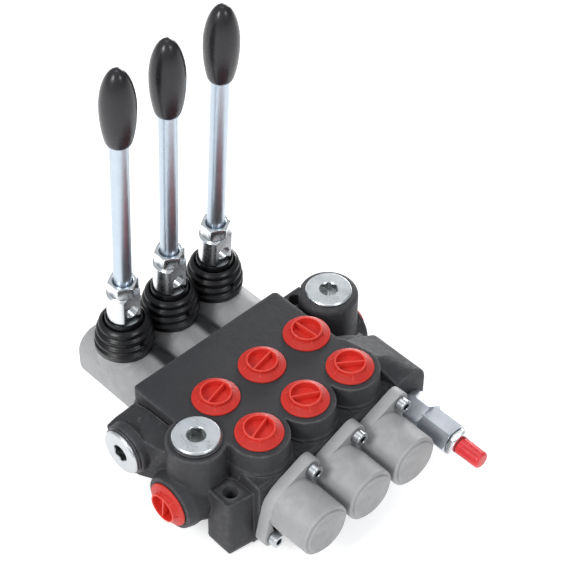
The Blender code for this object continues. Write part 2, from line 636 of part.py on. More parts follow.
def build_hub(number, joint, lean):
    """Ball, neck and clamp head on the lever line, and a vertical arm down into the spool."""
    neck_r, arm_r, tip_r = 0.0055, 0.0026, 0.0043
    reach = LEVER_Z - SPOOL_Z
    start = math.asin(arm_r / BALL_R)
    profile = [(0, -BALL_R)]
    stop = math.pi - math.asin(neck_r / BALL_R)
    for i in range(1, 7):
        angle = start + (stop - start) * i / 6
        profile.append((BALL_R * math.sin(angle), -BALL_R * math.cos(angle)))
    profile += [(neck_r, 0.0130), (HUB_R - 0.001, 0.0150), (HUB_R, 0.0160),
                (HUB_R, HUB_TOP - 0.0014), (HUB_R - 0.0014, HUB_TOP), (0, HUB_TOP)]
    bm = bmesh.new()
    add_turned(bm, profile, segments=MEDIUM)
    hub = make_object(f"lever_hub_{number}", bm, "chrome", parent=joint)
    arm_profile = [(0, -reach - tip_r)]
    for i in range(1, 6):
        angle = math.pi * i / 7.2
        arm_profile.append((tip_r * math.sin(angle), -reach - tip_r * math.cos(angle)))
    arm_profile += [(arm_r, -reach + 0.0045), (arm_r, -0.0030), (0, -0.0030)]
    arm = tool_from(f"add_arm_{number}", add_turned, arm_profile, segments=COARSE)
    arm.rotation_euler.x = -lean
    flat = tool_from(f"cut_hub_flat_{number}", add_box, (-0.012, -0.014, 0.0260),
                     (0.012, -0.0079, 0.0600))
    tapped = tool_from(f"cut_hub_thread_{number}", add_turned,
                       [(0, 0), (0.0043, 0), (0.0043, 0.0120), (0, 0.0120)],
                       (0, -0.0100, 0.0362), (0, 1, 0), COARSE)
    socket = tool_from(f"cut_hub_socket_{number}", add_turned,
                       [(0, 0), (ROD_R + GAP, 0), (ROD_R + GAP, 0.0200), (0, 0.0200)],
                       (0, 0, HUB_TOP - 0.0050), segments=COARSE)
    for tool, operation in ((arm, "UNION"), (flat, "DIFFERENCE"), (tapped, "DIFFERENCE"),
                            (socket, "DIFFERENCE")):
        tool.parent = joint
        boolean(hub, tool, operation)


def build_lock_nut(number, joint):
    """Hexagon nut with both edges chamfered, locking the rod on the hub."""
    bm = bmesh.new()
    add_prism(bm, hexagon(0.0160, 30), HUB_TOP + GAP, NUT_TOP)
    nut = make_object(f"lever_lock_nut_{number}", bm, "zinc_steel", parent=joint)
    middle = (HUB_TOP + GAP + NUT_TOP) / 2
    half = (NUT_TOP - HUB_TOP - GAP) / 2
    crown = [(0, -half), (0.0078, -half), (0.0096, -half + 0.0011), (0.0096, half - 0.0011),
             (0.0078, half), (0, half)]
    limit = tool_from(f"limit_nut_{number}", add_turned, crown, (0, 0, middle))
    hole = tool_from(f"cut_nut_hole_{number}", add_turned,
                     [(0, 0), (ROD_R + GAP, 0), (ROD_R + GAP, 0.0200), (0, 0.0200)],
                     (0, 0, HUB_TOP - 0.005), segments=COARSE)
    for tool, operation in ((limit, "INTERSECT"), (hole, "DIFFERENCE")):
        tool.parent = joint
        boolean(nut, tool, operation)


def knob_profile(lift):
    """Long egg: blunt base, widest at the middle, rounder top."""
    middle = (KNOB_TOP + KNOB_BASE) / 2 + lift
    half = (KNOB_TOP - KNOB_BASE) / 2
    points = [(ROD_R + GAP, middle - half), (KNOB_BASE_R, middle - half)]
    for step in (-0.97, -0.8, -0.6, -0.35, 0.0, 0.3, 0.5, 0.7, 0.85, 0.95, 0.99):
        if step < 0:
            radius = KNOB_R * (1 - 0.36 * abs(step) ** 2.2)
        else:
            radius = KNOB_R * math.sqrt(1 - step ** 2.1)
        points.append((radius, middle + half * step))
    points.append((0, middle + half))
    hole_end = KNOB_BASE + lift + 0.0300
    points += [(0, hole_end), (ROD_R + GAP, hole_end)]
    return points


def build_lever(number, x):
    """Everything above the ball: the joint empty leans with the lever."""
    lean, lift = LEVER_LEAN[number - 1], LEVER_SCREW_OUT[number - 1]
    joint = pivot(f"lever_{number}_pivot", (x, LEVER_Y, LEVER_Z), (lean, 0, 0))
    build_hub(number, joint, lean)
    build_lock_nut(number, joint)
    bm = bmesh.new()
    add_turned(bm, [(0, HUB_TOP - 0.0047), (ROD_R, HUB_TOP - 0.0047),
                    (ROD_R, KNOB_BASE + lift + 0.0290), (0, KNOB_BASE + lift + 0.0290)],
               segments=COARSE)
    make_object(f"lever_rod_{number}", bm, "chrome", parent=joint)
    bm = bmesh.new()
    add_turned(bm, knob_profile(lift), segments=MEDIUM, closed=True)
    make_object(f"lever_knob_{number}", bm, "black_plastic", parent=joint)


def boot_profile():
    """Bellows wall as one closed loop of (radius, height above the pivot plane)."""
    outside = [(0.0179, 0.0029), (0.0179, 0.0066), (0.0168, 0.0078), (0.0177, 0.0110),
               (0.0160, 0.0140), (0.0167, 0.0170), (0.0148, 0.0195), (0.0150, 0.0215),
               (0.0134, 0.0250), (0.0118, 0.0238), (0.0116, 0.0280), (0.0103, 0.0280)]
    inside = [(0.0103, 0.0220), (0.0132, 0.0180), (0.0150, 0.0110), (0.0150, 0.0029)]
    return outside + inside


def build_boot(number, x):
    """Rubber bellows, sheared so that its neck stays round the leaning hub."""
    bm = bmesh.new()
    add_turned(bm, boot_profile(), segments=MEDIUM, closed=True)
    for vert in bm.verts:
        vert.co.y -= vert.co.z * math.tan(LEVER_LEAN[number - 1])
    make_object(f"lever_boot_{number}", bm, "black_rubber", (x, LEVER_Y, LEVER_Z))


# ---- relief valve and load checks --------------------------------------------------------
def build_relief():
    centre = (RELIEF_X, 0, RELIEF_Z)
    frame = section_frame("Y", centre)
    face = RELIEF_FACE_Y - GAP
    collar_end, hex_end, nut_end, cap_end = -0.0550, -0.0763, -0.0808, -0.0980
    bm = bmesh.new()
    add_prism(bm, hexagon(0.0206, 90), -face, -collar_end, frame)
    sleeve = make_object("relief_sleeve", bm, "zinc_steel")
    round_off = [(0, face), (0.0104, face), (0.0121, face - 0.0025), (0.0121, collar_end + 0.0015),
                 (0.0108, collar_end), (0, collar_end)]
    boolean(sleeve, tool_from("limit_collar", add_turned, round_off, centre, (0, 1, 0), FINE),
            "INTERSECT")
    boolean(sleeve, tool_from("add_long_hex", add_prism, hexagon(0.0183, 0), -collar_end - 0.002,
                              -hex_end, frame), "UNION")
    thread = [(0, 0), (0.0080, 0), (0.0080, 0.0275), (0.0070, 0.0285), (0, 0.0285)]
    boolean(sleeve, tool_from("add_thread", add_turned, thread,
                              (RELIEF_X, face - 0.001, RELIEF_Z), (0, 1, 0), MEDIUM), "UNION")
    bore = [(0, 0), (0.0060, 0), (0.0060, 0.0640), (0.0035, 0.0640), (0.0035, 0.0800),
            (0, 0.0800)]
    boolean(sleeve, tool_from("cut_sleeve_bore", add_turned, bore,
                              (RELIEF_X, hex_end - 0.001, RELIEF_Z), (0, 1, 0), COARSE),
            "DIFFERENCE")

    bm = bmesh.new()
    add_prism(bm, hexagon(0.0170, 10), -hex_end + GAP, -nut_end, frame)
    nut = make_object("relief_lock_nut", bm, "zinc_steel")
    crown = [(0, hex_end - GAP), (0.0084, hex_end - GAP), (0.0096, hex_end - 0.0010),
             (0.0096, nut_end + 0.0010), (0.0084, nut_end), (0, nut_end)]
    boolean(nut, tool_from("limit_relief_nut", add_turned, crown, centre, (0, 1, 0)), "INTERSECT")
    hole = [(0, 0), (0.0043, 0), (0.0043, 0.0080), (0, 0.0080)]
    boolean(nut, tool_from("cut_relief_nut", add_turned, hole,
                           (RELIEF_X, hex_end + 0.001, RELIEF_Z), (0, -1, 0), COARSE),
            "DIFFERENCE")

    bm = bmesh.new()
    add_turned(bm, [(0, -0.0940), (0.0040, -0.0940), (0.0040, -0.0660), (0.0057, -0.0660),
                    (0.0057, -0.0600), (0, -0.0600)], centre, (0, 1, 0), COARSE)
    make_object("relief_adjusting_screw", bm, "zinc_steel")
    bm = bmesh.new()
    add_coil(bm, (RELIEF_X, -0.0597, RELIEF_Z), (0, 1, 0), 0.0045, 0.0008, 0.0285, 8)
    make_object("relief_spring", bm, "spring_steel")
    bm = bmesh.new()
    add_turned(bm, [(0, -0.0309), (0.0055, -0.0309), (0.0055, -0.0190), (0.0033, -0.0140),
                    (0, -0.0120)], (0, 0, 0), (0, 1, 0), COARSE)
    make_object("relief_poppet", bm, "ground_steel", centre)
    bm = bmesh.new()
    add_turned(bm, [(0.0043, nut_end - GAP), (0.0055, nut_end - GAP), (0.0053, cap_end + 0.0015),
                    (0.0042, cap_end), (0, cap_end), (0, -0.0943), (0.0043, -0.0943)],
               centre, (0, 1, 0), MEDIUM, closed=True)
    make_object("relief_cap", bm, "red_vinyl")


def build_load_check(number, x):
    """Poppet that lifts off a seat under the spool, and the plug that closes its bore."""
    bm = bmesh.new()
    add_turned(bm, [(0, 0.0093), (0.0024, 0.0093), (0.0024, 0.0145), (0.0066, 0.0145),
                    (0.0066, 0.0172), (0.0052, 0.0187), (0, 0.0187)], segments=COARSE)
    make_object(f"load_check_poppet_{number}", bm, "ground_steel", (x, CHECK_Y, 0))
    bm = bmesh.new()
    add_socket_screw(bm, (x, CHECK_Y, 0.0036), (0, 0, -1), 0.0071, 0.0030, 0.0062, 0.0035)
    make_object(f"load_check_plug_{number}", bm, "zinc_steel")


def build_all():
    clear_scene()
    build_body()
    build_plugs()
    for number, x in enumerate(SPOOL_X, 1):
        build_end_cap(number, x)
        build_cap_screws(number, x)
        build_spool(number, x)
        build_load_check(number, x)
        build_lever_box(number, x)
        build_lever(number, x)
        build_boot(number, x)
    build_relief()


build_all()
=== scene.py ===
"""The visual model of the three-spool hydraulic monoblock valve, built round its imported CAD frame.

Lengths in the geometry code are in millimetres; MM turns them into metres when a mesh is made.
"""

import json
import math

import bmesh
import bpy
import numpy as np
from mathutils import Matrix, Vector


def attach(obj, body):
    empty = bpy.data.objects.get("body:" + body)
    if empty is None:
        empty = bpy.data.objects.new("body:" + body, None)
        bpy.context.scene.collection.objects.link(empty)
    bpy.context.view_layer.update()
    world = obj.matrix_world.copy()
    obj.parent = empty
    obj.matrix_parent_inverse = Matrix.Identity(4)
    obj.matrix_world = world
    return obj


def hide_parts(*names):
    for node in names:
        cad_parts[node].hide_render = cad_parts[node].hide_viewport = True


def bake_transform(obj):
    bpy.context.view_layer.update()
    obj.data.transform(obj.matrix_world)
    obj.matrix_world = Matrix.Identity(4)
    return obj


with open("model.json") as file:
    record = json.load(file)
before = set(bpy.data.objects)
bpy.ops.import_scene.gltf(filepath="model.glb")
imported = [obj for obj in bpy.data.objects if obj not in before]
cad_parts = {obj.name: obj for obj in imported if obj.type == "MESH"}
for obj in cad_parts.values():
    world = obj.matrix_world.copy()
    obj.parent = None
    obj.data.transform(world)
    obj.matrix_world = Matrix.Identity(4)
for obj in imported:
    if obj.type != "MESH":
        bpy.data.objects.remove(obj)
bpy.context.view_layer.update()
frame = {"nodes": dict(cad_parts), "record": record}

MM = 0.001
SPOOLS = {1: -36.0, 2: 0.0, 3: 36.0}  # X of each spool's axis
SPOOL_Z = 33.5
SPOOL_BORE_R = 9.15
DECK_Z = 71.5
PORT_Y = 18.0  # the A ports are at +PORT_Y, the B ports at -PORT_Y
PORT_BORE_R = 9.4
FRONT_Y = -37.2
BACK_Y = 57.0

# Each lever pivots at (its spool's X, LEVER_Y, LEVER_Z); heights on a lever start at its pivot.
LEVER_Y = 100.0
LEVER_Z = 52.0
LEVER_LEAN = {1: 0.0567, 2: 0.0480, 3: 0.0640}  # radians from upright at rest
LEVER_OUT = {1: 0.0, 2: -0.8, 3: 5.2}  # how far each rod is screwed out
ROD_R = 5.4
ROD_BORE_R = 5.7
HUB_TOP = 48.6
NUT_TOP = 57.4
KNOB_BASE = 165.7
KNOB_TOP = 216.55
KNOB_R = 10.3

INLET = (-64.3, 3.1)
INLET_FACE = -86.6
OUTLET = (69.9, 33.7)
OUTLET_TOP = 73.0
OUTLET_SEAT = 71.6
OUTLET_FACE = 88.5
GALLERY_Z = 32.6
SIDE_PORT = (38.0, 51.0)
SIDE_FACE = -88.5
LOBE_R = 17.8
LOBE_FOOT_R = 18.5
LOBE_CUSP = math.degrees(math.acos(18.0 / LOBE_FOOT_R))  # where the feet of two lobes meet
RELIEF = (66.5, 30.9)
CAP_SCREW = (15.0, 17.8)


# ---- mesh helpers ------------------------------------------------------------------------
FILLET_SHARE = 0.48  # of a corner's shorter leg, at most
SUPPORT_SHARE = 2.2  # a leg this many times longer than its fillet gets a supporting point
AXIS_RADIUS = 1e-6  # a profile point nearer the axis than this lies on it


def rounded(points, closed=False, steps=3, support=0.35):
    """Fillet the corners of a polyline of (a, b) or (a, b, radius) points."""
    out = []
    count = len(points)
    for i, point in enumerate(points):
        here = Vector(point[:2])
        radius = point[2] if len(point) > 2 else 0.0
        if radius == 0.0 or (not closed and i in (0, count - 1)):
            out.append(here)
            continue
        before = Vector(points[i - 1][:2]) - here
        after = Vector(points[(i + 1) % count][:2]) - here
        angle = before.angle(after)
        room = min(before.length, after.length) * FILLET_SHARE
        cut = min(radius / math.tan(angle / 2), room)
        radius = cut * math.tan(angle / 2)
        before_unit = before.normalized()
        after_unit = after.normalized()
        centre = here + (before_unit + after_unit).normalized() * (radius / math.sin(angle / 2))
        start = here + before_unit * cut - centre
        end = here + after_unit * cut - centre
        turn = start.angle(end)
        if before.length > SUPPORT_SHARE * (cut + support):
            out.append(here + before_unit * (cut + support))
        for k in range(steps + 1):
            t = k / steps
            swept = start * math.sin((1 - t) * turn) + end * math.sin(t * turn)
            out.append(centre + swept / math.sin(turn))
        if after.length > SUPPORT_SHARE * (cut + support):
            out.append(here + after_unit * (cut + support))
    return out


def arc(centre, radius, start, end, steps):
    """Points on a circle, from one angle to another in degrees."""
    return [(centre[0] + radius * math.cos(math.radians(start + (end - start) * i / steps)),
             centre[1] + radius * math.sin(math.radians(start + (end - start) * i / steps)))
            for i in range(steps + 1)]


def cylinder(radius, low, high):
    """The lathe profile of a plain cylinder."""
    return [(0, low), (radius, low), (radius, high), (0, high)]


def turn_to(axis):
    """The rotation that takes +Z to an axis."""
    return Vector((0, 0, 1)).rotation_difference(Vector(axis)).to_matrix().to_4x4()


def add_lathe(bm, profile, centre=(0, 0, 0), axis=(0, 0, 1), segments=64, closed=False):
    """Revolve (radius, height) points about an axis; a closed profile makes a ring."""
    matrix = Matrix.Translation(Vector(centre) * MM) @ turn_to(axis)
    rings = []
    for radius, height in profile:
        if radius < AXIS_RADIUS:
            rings.append([bm.verts.new(matrix @ Vector((0, 0, height * MM)))])
            continue
        ring = []
        for k in range(segments):
            angle = 2 * math.pi * k / segments
            spot = Vector((radius * math.cos(angle), radius * math.sin(angle), height)) * MM
            ring.append(bm.verts.new(matrix @ spot))
        rings.append(ring)
    pairs = list(zip(rings, rings[1:]))
    if closed:
        pairs.append((rings[-1], rings[0]))
    for lower, upper in pairs:
        for k in range(segments):
            after = (k + 1) % segments
            if len(lower) == 1 and len(upper) == 1:
                break
            if len(lower) == 1:
                bm.faces.new((lower[0], upper[after], upper[k]))
            elif len(upper) == 1:
                bm.faces.new((lower[k], lower[after], upper[0]))
            else:
                bm.faces.new((lower[k], lower[after], upper[after], upper[k]))
    if not closed:
        for end in (rings[0], rings[-1]):
            if len(end) > 1:
                bm.faces.new(end)


def add_prism(bm, outline, low, high, matrix=None):
    """Extrude a plan outline between two heights."""
    matrix = matrix or Matrix.Identity(4)
    rings = []
    for height in (low, high):
        rings.append([bm.verts.new(matrix @ (Vector((p[0], p[1], height)) * MM)) for p in outline])
        bm.faces.new(rings[-1])
    count = len(outline)
    for k in range(count):
        after = (k + 1) % count
        bm.faces.new((rings[0][k], rings[0][after], rings[1][after], rings[1][k]))


def add_box(bm, low, high):
    outline = [(low[0], low[1]), (high[0], low[1]), (high[0], high[1]), (low[0], high[1])]
    add_prism(bm, outline, low[2], high[2])


def add_hexagon(bm, across_flats, low, high, start=0.0):
    add_prism(bm, arc((0, 0), across_flats / math.sqrt(3), start, start + 300, 5), low, high)


def add_hull(bm, points):
    verts = [bm.verts.new(Vector(p) * MM) for p in points]
    bmesh.ops.convex_hull(bm, input=verts)


def add_skin(bm, rings):
    """Join equal closed rings of vertices into one capped tube."""
    for first, second in zip(rings, rings[1:]):
        for k in range(len(first)):
            after = (k + 1) % len(first)
            bm.faces.new((first[k], first[after], second[after], second[k]))
    bm.faces.new(rings[0])
    bm.faces.new(rings[-1])


def add_tube(bm, points, radius, sides=8):
    """A round bead along a polyline, with pointed ends."""
    spots = [Vector(p) for p in points]
    rings = []
    for i, spot in enumerate(spots):
        along = (spots[min(i + 1, len(spots) - 1)] - spots[max(i - 1, 0)]).normalized()
        side = along.cross(Vector((0, 0, 1))).normalized()
        up = side.cross(along)
        reach = radius * (0.25 if i in (0, len(spots) - 1) else 1.0)
        rings.append([bm.verts.new((spot + (side * math.cos(a) + up * math.sin(a)) * reach) * MM)
                      for a in (2 * math.pi * k / sides for k in range(sides))])
    add_skin(bm, rings)


SECTION_COLUMNS = {"X": ((0, 1, 0), (0, 0, 1), (1, 0, 0)), "Y": ((1, 0, 0), (0, 0, 1), (0, -1, 0))}


def section(axis, origin=(0, 0, 0)):
    """Take (x, y, z) to the section's frame: (z, x, y) for "X" and (x, -z, y) for "Y"."""
    matrix = Matrix(SECTION_COLUMNS[axis]).transposed().to_4x4()
    matrix.translation = Vector(origin) * MM
    return matrix


def made(name, add, *args, **options):
    """A helper or unfinished object, filled by one of the add_ functions."""
    bm = bmesh.new()
    add(bm, *args, **options)
    bmesh.ops.recalc_face_normals(bm, faces=bm.faces)
    mesh = bpy.data.meshes.new(name)
    bm.to_mesh(mesh)
    bm.free()
    obj = bpy.data.objects.new(name, mesh)
    bpy.context.scene.collection.objects.link(obj)
    return obj


def add_modifier(obj, kind, **settings):
    modifier = obj.modifiers.new(kind.lower(), kind)
    for key, value in settings.items():
        setattr(modifier, key, value)


def settle(obj, tools=()):
    """Apply the object's modifiers and drop the helper solids."""
    bpy.context.view_layer.update()
    evaluated = obj.evaluated_get(bpy.context.evaluated_depsgraph_get())
    mesh = bpy.data.meshes.new_from_object(evaluated)
    obj.modifiers.clear()
    old = obj.data
    obj.data = mesh
    bpy.data.meshes.remove(old)
    for tool in tools:
        data = tool.data
        bpy.data.objects.remove(tool)
        bpy.data.meshes.remove(data)


def combine(obj, tools, operation="DIFFERENCE", solver="EXACT"):
    """Cut or join helper solids, which are used up."""
    for tool in tools:
        add_modifier(obj, "BOOLEAN", object=tool, operation=operation, solver=solver)
    settle(obj, tools)


def store(mesh, name, values):
    """Keep one number for each vertex, which a material reads by its name."""
    attribute = mesh.attributes.new(name, "FLOAT", "POINT")
    attribute.data.foreach_set("value", values.astype(np.float32))


def vertex_spots(mesh):
    """Vertex positions in millimetres, in the piece's own frame."""
    spots = np.zeros(len(mesh.vertices) * 3, np.float32)
    mesh.vertices.foreach_get("co", spots)
    return spots.reshape(-1, 3) / MM


FULL_EDGE = 0.5  # radians between two faces, where an edge counts as fully sharp


def mark_edges(mesh):
    """Store how convex the surface is at each point, for edge wear and for painted highlights that make
    edges lighter.
    """
    bm = bmesh.new()
    bm.from_mesh(mesh)
    values = np.zeros(len(bm.verts), np.float32)
    for edge in bm.edges:
        if len(edge.link_faces) != 2:
            continue
        angle = edge.calc_face_angle_signed(0.0)
        for vert in edge.verts:
            values[vert.index] = max(values[vert.index], angle)
    bm.free()
    store(mesh, "edge", np.clip(values / FULL_EDGE, 0, 1))


SOCKET_FLOOR = -7.0  # lower than any socket reaches
SHADE_RISE = 6.0  # height above a lever box's axis over which the painted shade sets in


def mark_socket_shade(mesh, radius, height):
    """Store painted shade: 1 inside a socket, within the radius and below the height, where the colour
    is darkened as if in shadow.
    """
    spots = vertex_spots(mesh)
    inside = np.hypot(spots[:, 0], spots[:, 1]) < radius
    inside &= (spots[:, 2] < height) & (spots[:, 2] > SOCKET_FLOOR)
    store(mesh, "socket_shade", inside)


def mark_painted_shade(mesh, start, full):
    """Store painted shade: how far a point is down the shoulder that faces the next lever box and turns
    away from the light.
    """
    spots = vertex_spots(mesh)
    across = np.clip((-spots[:, 0] - start) / (full - start), 0, 1)
    depth = across * np.clip(spots[:, 1] / SHADE_RISE, 0, 1)
    store(mesh, "painted_shade", depth * depth * (3 - 2 * depth))


def piece(obj, material, body, replaces=(), sharp=38, place=None):
    """Finish a visible piece: shading, edge marks, material, place, and the body it rides on."""
    mesh = obj.data
    mesh.shade_smooth()
    mesh.set_sharp_from_angle(angle=math.radians(sharp))
    mark_edges(mesh)
    mesh.materials.clear()
    mesh.materials.append(material)
    if place is not None:
        obj.matrix_world = place
    if body:
        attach(obj, body)
    if replaces:
        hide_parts(*replaces)


def placed(centre, axis=(0, 0, 1), spin=0.0):
    """Local Z along the axis, turned about it by spin degrees, with the origin at the centre."""
    return (Matrix.Translation(Vector(centre) * MM) @ turn_to(axis)
            @ Matrix.Rotation(math.radians(spin), 4, "Z"))


def soften(obj, width, segments=2, angle=30):
    add_modifier(obj, "BEVEL", width=width * MM, segments=segments, limit_method="ANGLE",
                 angle_limit=math.radians(angle), harden_normals=False, use_clamp_overlap=True)
    settle(obj)


# ---- materials ---------------------------------------------------------------------------
class Nodes:
    """A thin wrapper that adds and links shader nodes."""

    def __init__(self, name):
        self.material = bpy.data.materials.new(name)
        self.material.use_nodes = True
        self.tree = self.material.node_tree
        self.shader = self.tree.nodes["Principled BSDF"]
        self.coords = self.add("ShaderNodeTexCoord").outputs["Object"]
        self.normal = None

    def add(self, kind, inputs=None, **settings):
        node = self.tree.nodes.new(kind)
        for key, value in settings.items():
            setattr(node, key, value)
        for key, value in (inputs or {}).items():
            self.put(node.inputs[key], value)
        return node

    def put(self, socket, value):
        if isinstance(value, bpy.types.NodeSocket):
            self.tree.links.new(value, socket)
        else:
            socket.default_value = value

    def noise(self, scale, detail=3.0, roughness=0.55, distortion=0.0):
        inputs = {"Vector": self.coords, "Scale": scale, "Detail": detail, "Roughness": roughness,
                  "Distortion": distortion}
        return self.add("ShaderNodeTexNoise", inputs).outputs["Fac"]

    def times(self, a, b, clamp=False):
        node = self.add("ShaderNodeMath", {0: a, 1: b}, operation="MULTIPLY", use_clamp=clamp)
        return node.outputs[0]

    def remap(self, value, low, high, to_low=0.0, to_high=1.0):
        return self.add("ShaderNodeMapRange", {"Value": value, "From Min": low, "From Max": high,
                        "To Min": to_low, "To Max": to_high}).outputs["Result"]

    def drift(self, scale, detail, low=0.0, high=1.0):
        """Noise that wanders between low and high."""
        return self.remap(self.noise(scale, detail), 0.3, 0.7, low, high)

    def radius(self):
        """Distance from the piece's own axis, in metres."""
        flat = self.add("ShaderNodeVectorMath", {0: self.coords, 1: (1.0, 1.0, 0.0)},
                        operation="MULTIPLY").outputs[0]
        return self.add("ShaderNodeVectorMath", {0: flat}, operation="LENGTH").outputs["Value"]

    def mix(self, factor, a, b):
        node = self.add("ShaderNodeMix", data_type="RGBA")
        for index, value in ((0, factor), (6, a), (7, b)):
            if isinstance(value, tuple):
                value = (*value, 1.0)
            self.put(node.inputs[index], value)
        return node.outputs[2]

    def bump(self, height, distance):
        inputs = {"Height": height, "Distance": distance, "Strength": 1.0}
        if self.normal is not None:
            inputs["Normal"] = self.normal
        self.normal = self.add("ShaderNodeBump", inputs).outputs["Normal"]

    def attribute(self, name):
        return self.add("ShaderNodeAttribute", attribute_name=name).outputs["Fac"]

    def finish(self, colour, roughness, metallic=0.0, **constants):
        self.put(self.shader.inputs["Base Color"], colour)
        self.put(self.shader.inputs["Roughness"], roughness)
        self.shader.inputs["Metallic"].default_value = metallic
        for key, value in constants.items():
            self.shader.inputs[key.replace("_", " ")].default_value = value
        if self.normal is not None:
            self.tree.links.new(self.normal, self.shader.inputs["Normal"])
        return self.material


def scaled(colour, factor):
    return tuple(min(1.0, c * factor) for c in colour)


def painted_iron():
    n = Nodes("paint_over_cast_iron")
    base = n.mix(n.remap(n.noise(28, 4, 0.6), 0.3, 0.7), (0.036, 0.036, 0.039), (0.043, 0.043, 0.046))
    base = n.mix(n.remap(n.noise(620, 2, 0.5), 0.62, 0.80, 0.0, 0.35), base, (0.08, 0.08, 0.083))
    # edge wear and painted highlight: convex edges lighter, broken up by noise
    scuffs_and_highlights = n.times(n.attribute("edge"), n.remap(n.noise(190, 3), 0.35, 0.62, 0.25, 1.0))
    base = n.mix(n.times(scuffs_and_highlights, 0.6, True), base, (0.14, 0.14, 0.145))
    n.bump(n.noise(260, 4, 0.5), 0.00030)
    n.bump(n.noise(1500, 3, 0.6), 0.00007)
    return n.finish(base, n.drift(340, 3, 0.42, 0.56), Specular_IOR_Level=0.16)


def cast_aluminium():
    n = Nodes("as_cast_aluminium")
    cloud = n.noise(75, 5, 0.65, 0.4)
    base = n.mix(n.remap(cloud, 0.32, 0.68), (0.30, 0.30, 0.302), (0.37, 0.37, 0.372))
    pits = n.remap(n.noise(900, 2), 0.62, 0.80)
    base = n.mix(n.times(pits, 0.4), base, (0.18, 0.18, 0.185))
    # edge wear and painted highlight: convex edges lighter
    base = n.mix(n.times(n.attribute("edge"), 0.4), base, (0.55, 0.55, 0.555))
    # painted shade: the shoulder that faces the next lever box is darkened as if in shadow
    base = n.mix(n.times(n.attribute("painted_shade"), 0.94), base, (0.022, 0.022, 0.025))
    n.bump(n.noise(330, 4, 0.6), 0.00016)
    n.bump(n.noise(1900, 2, 0.5), 0.00006)
    return n.finish(base, n.drift(200, 3, 0.50, 0.62), 0.25, Specular_IOR_Level=0.35)


def plated(name, tint, low, high, rings=0.0, spot=0.04):
    """Zinc or chrome plate; rings is the depth of fine turning marks about the piece's own axis."""
    n = Nodes(name)
    dull = scaled(tint, 1.0 - 2.2 * spot)
    base = n.mix(n.remap(n.noise(120, 4, 0.6), 0.35, 0.65), dull, tint)
    base = n.mix(n.remap(n.noise(1300, 2), 0.60, 0.85, 0.0, 0.10), base, scaled(tint, 0.80))
    rough = n.remap(n.noise(160, 4, 0.6), 0.3, 0.7, low, high)
    if rings:
        inputs = {"W": n.times(n.radius(), 2600.0), "Scale": 1.0, "Detail": 2.0}
        marks = n.add("ShaderNodeTexNoise", inputs, noise_dimensions="1D")
        n.bump(marks.outputs["Fac"], rings)
    n.bump(n.noise(700, 3), 0.000005)
    # painted shade: the inside of a hex socket is darkened as if in shadow
    base = n.mix(n.times(n.attribute("socket_shade"), 0.72), base, (0.045, 0.05, 0.045))
    return n.finish(base, rough, 1.0)


def red_plastic():
    """Polyethylene plug: the cup floor, within 8.5 mm of the axis, has painted light, a lighter red that
    stands for light let through and lifts the shade in the cup.
    """
    n = Nodes("red_polyethylene")
    base = n.mix(n.drift(90, 3), (0.47, 0.016, 0.010), (0.53, 0.022, 0.014))
    # painted light: the cup floor is lighter than the flange
    base = n.mix(n.remap(n.radius(), 0.0100, 0.0085), base, (0.66, 0.036, 0.026))
    # painted light: edges lighter, as if light shone through the thin walls
    base = n.mix(n.times(n.attribute("edge"), 0.5), base, (0.80, 0.10, 0.065))
    n.bump(n.noise(420, 3), 0.00004)
    return n.finish(base, n.drift(240, 3, 0.36, 0.48), Specular_IOR_Level=0.3,
                    Subsurface_Weight=0.15, Subsurface_Scale=0.002)


def red_vinyl():
    n = Nodes("red_dipped_vinyl")
    base = n.mix(n.drift(130, 3), (0.58, 0.012, 0.020), (0.68, 0.022, 0.030))
    # painted highlight: convex edges lighter
    base = n.mix(n.times(n.attribute("edge"), 0.35), base, (0.80, 0.10, 0.10))
    n.bump(n.noise(300, 2), 0.00008)
    return n.finish(base, n.drift(260, 2, 0.24, 0.34), Subsurface_Weight=0.1,
                    Subsurface_Scale=0.0015)


def black_rubber():
    n = Nodes("moulded_black_rubber")
    base = n.mix(n.drift(110, 4), (0.004, 0.004, 0.005), (0.008, 0.008, 0.009))
    base = n.mix(n.remap(n.noise(1400, 2), 0.68, 0.8, 0.0, 0.4), base, (0.03, 0.03, 0.032))
    n.bump(n.noise(420, 3), 0.000015)
    return n.finish(base, n.drift(180, 3, 0.26, 0.36), Specular_IOR_Level=0.34)


def black_plastic():
    n = Nodes("moulded_black_plastic")
    base = n.mix(n.drift(60, 3), (0.016, 0.014, 0.017), (0.020, 0.018, 0.021))
    n.bump(n.noise(260, 2), 0.00001)
    return n.finish(base, n.drift(200, 3, 0.24, 0.30), Specular_IOR_Level=0.4)


def dark_seal():
    n = Nodes("bonded_seal")
    base = n.mix(n.drift(200, 3), (0.05, 0.05, 0.055), (0.09, 0.09, 0.095))
    n.bump(n.noise(800, 2), 0.00002)
    return n.finish(base, n.drift(300, 2, 0.30, 0.45), 0.6)


ZINC = (0.76, 0.785, 0.80)
RING_DEPTH = 0.000012
IRON = painted_iron()
ALUMINIUM = cast_aluminium()
PLATE = plated("bright_zinc_plate", (0.76, 0.78, 0.80), 0.20, 0.30)
SCREW = plated("screw_zinc_plate", (0.58, 0.60, 0.62), 0.26, 0.36)
TURNED = plated("turned_zinc_plate", ZINC, 0.24, 0.34, RING_DEPTH)
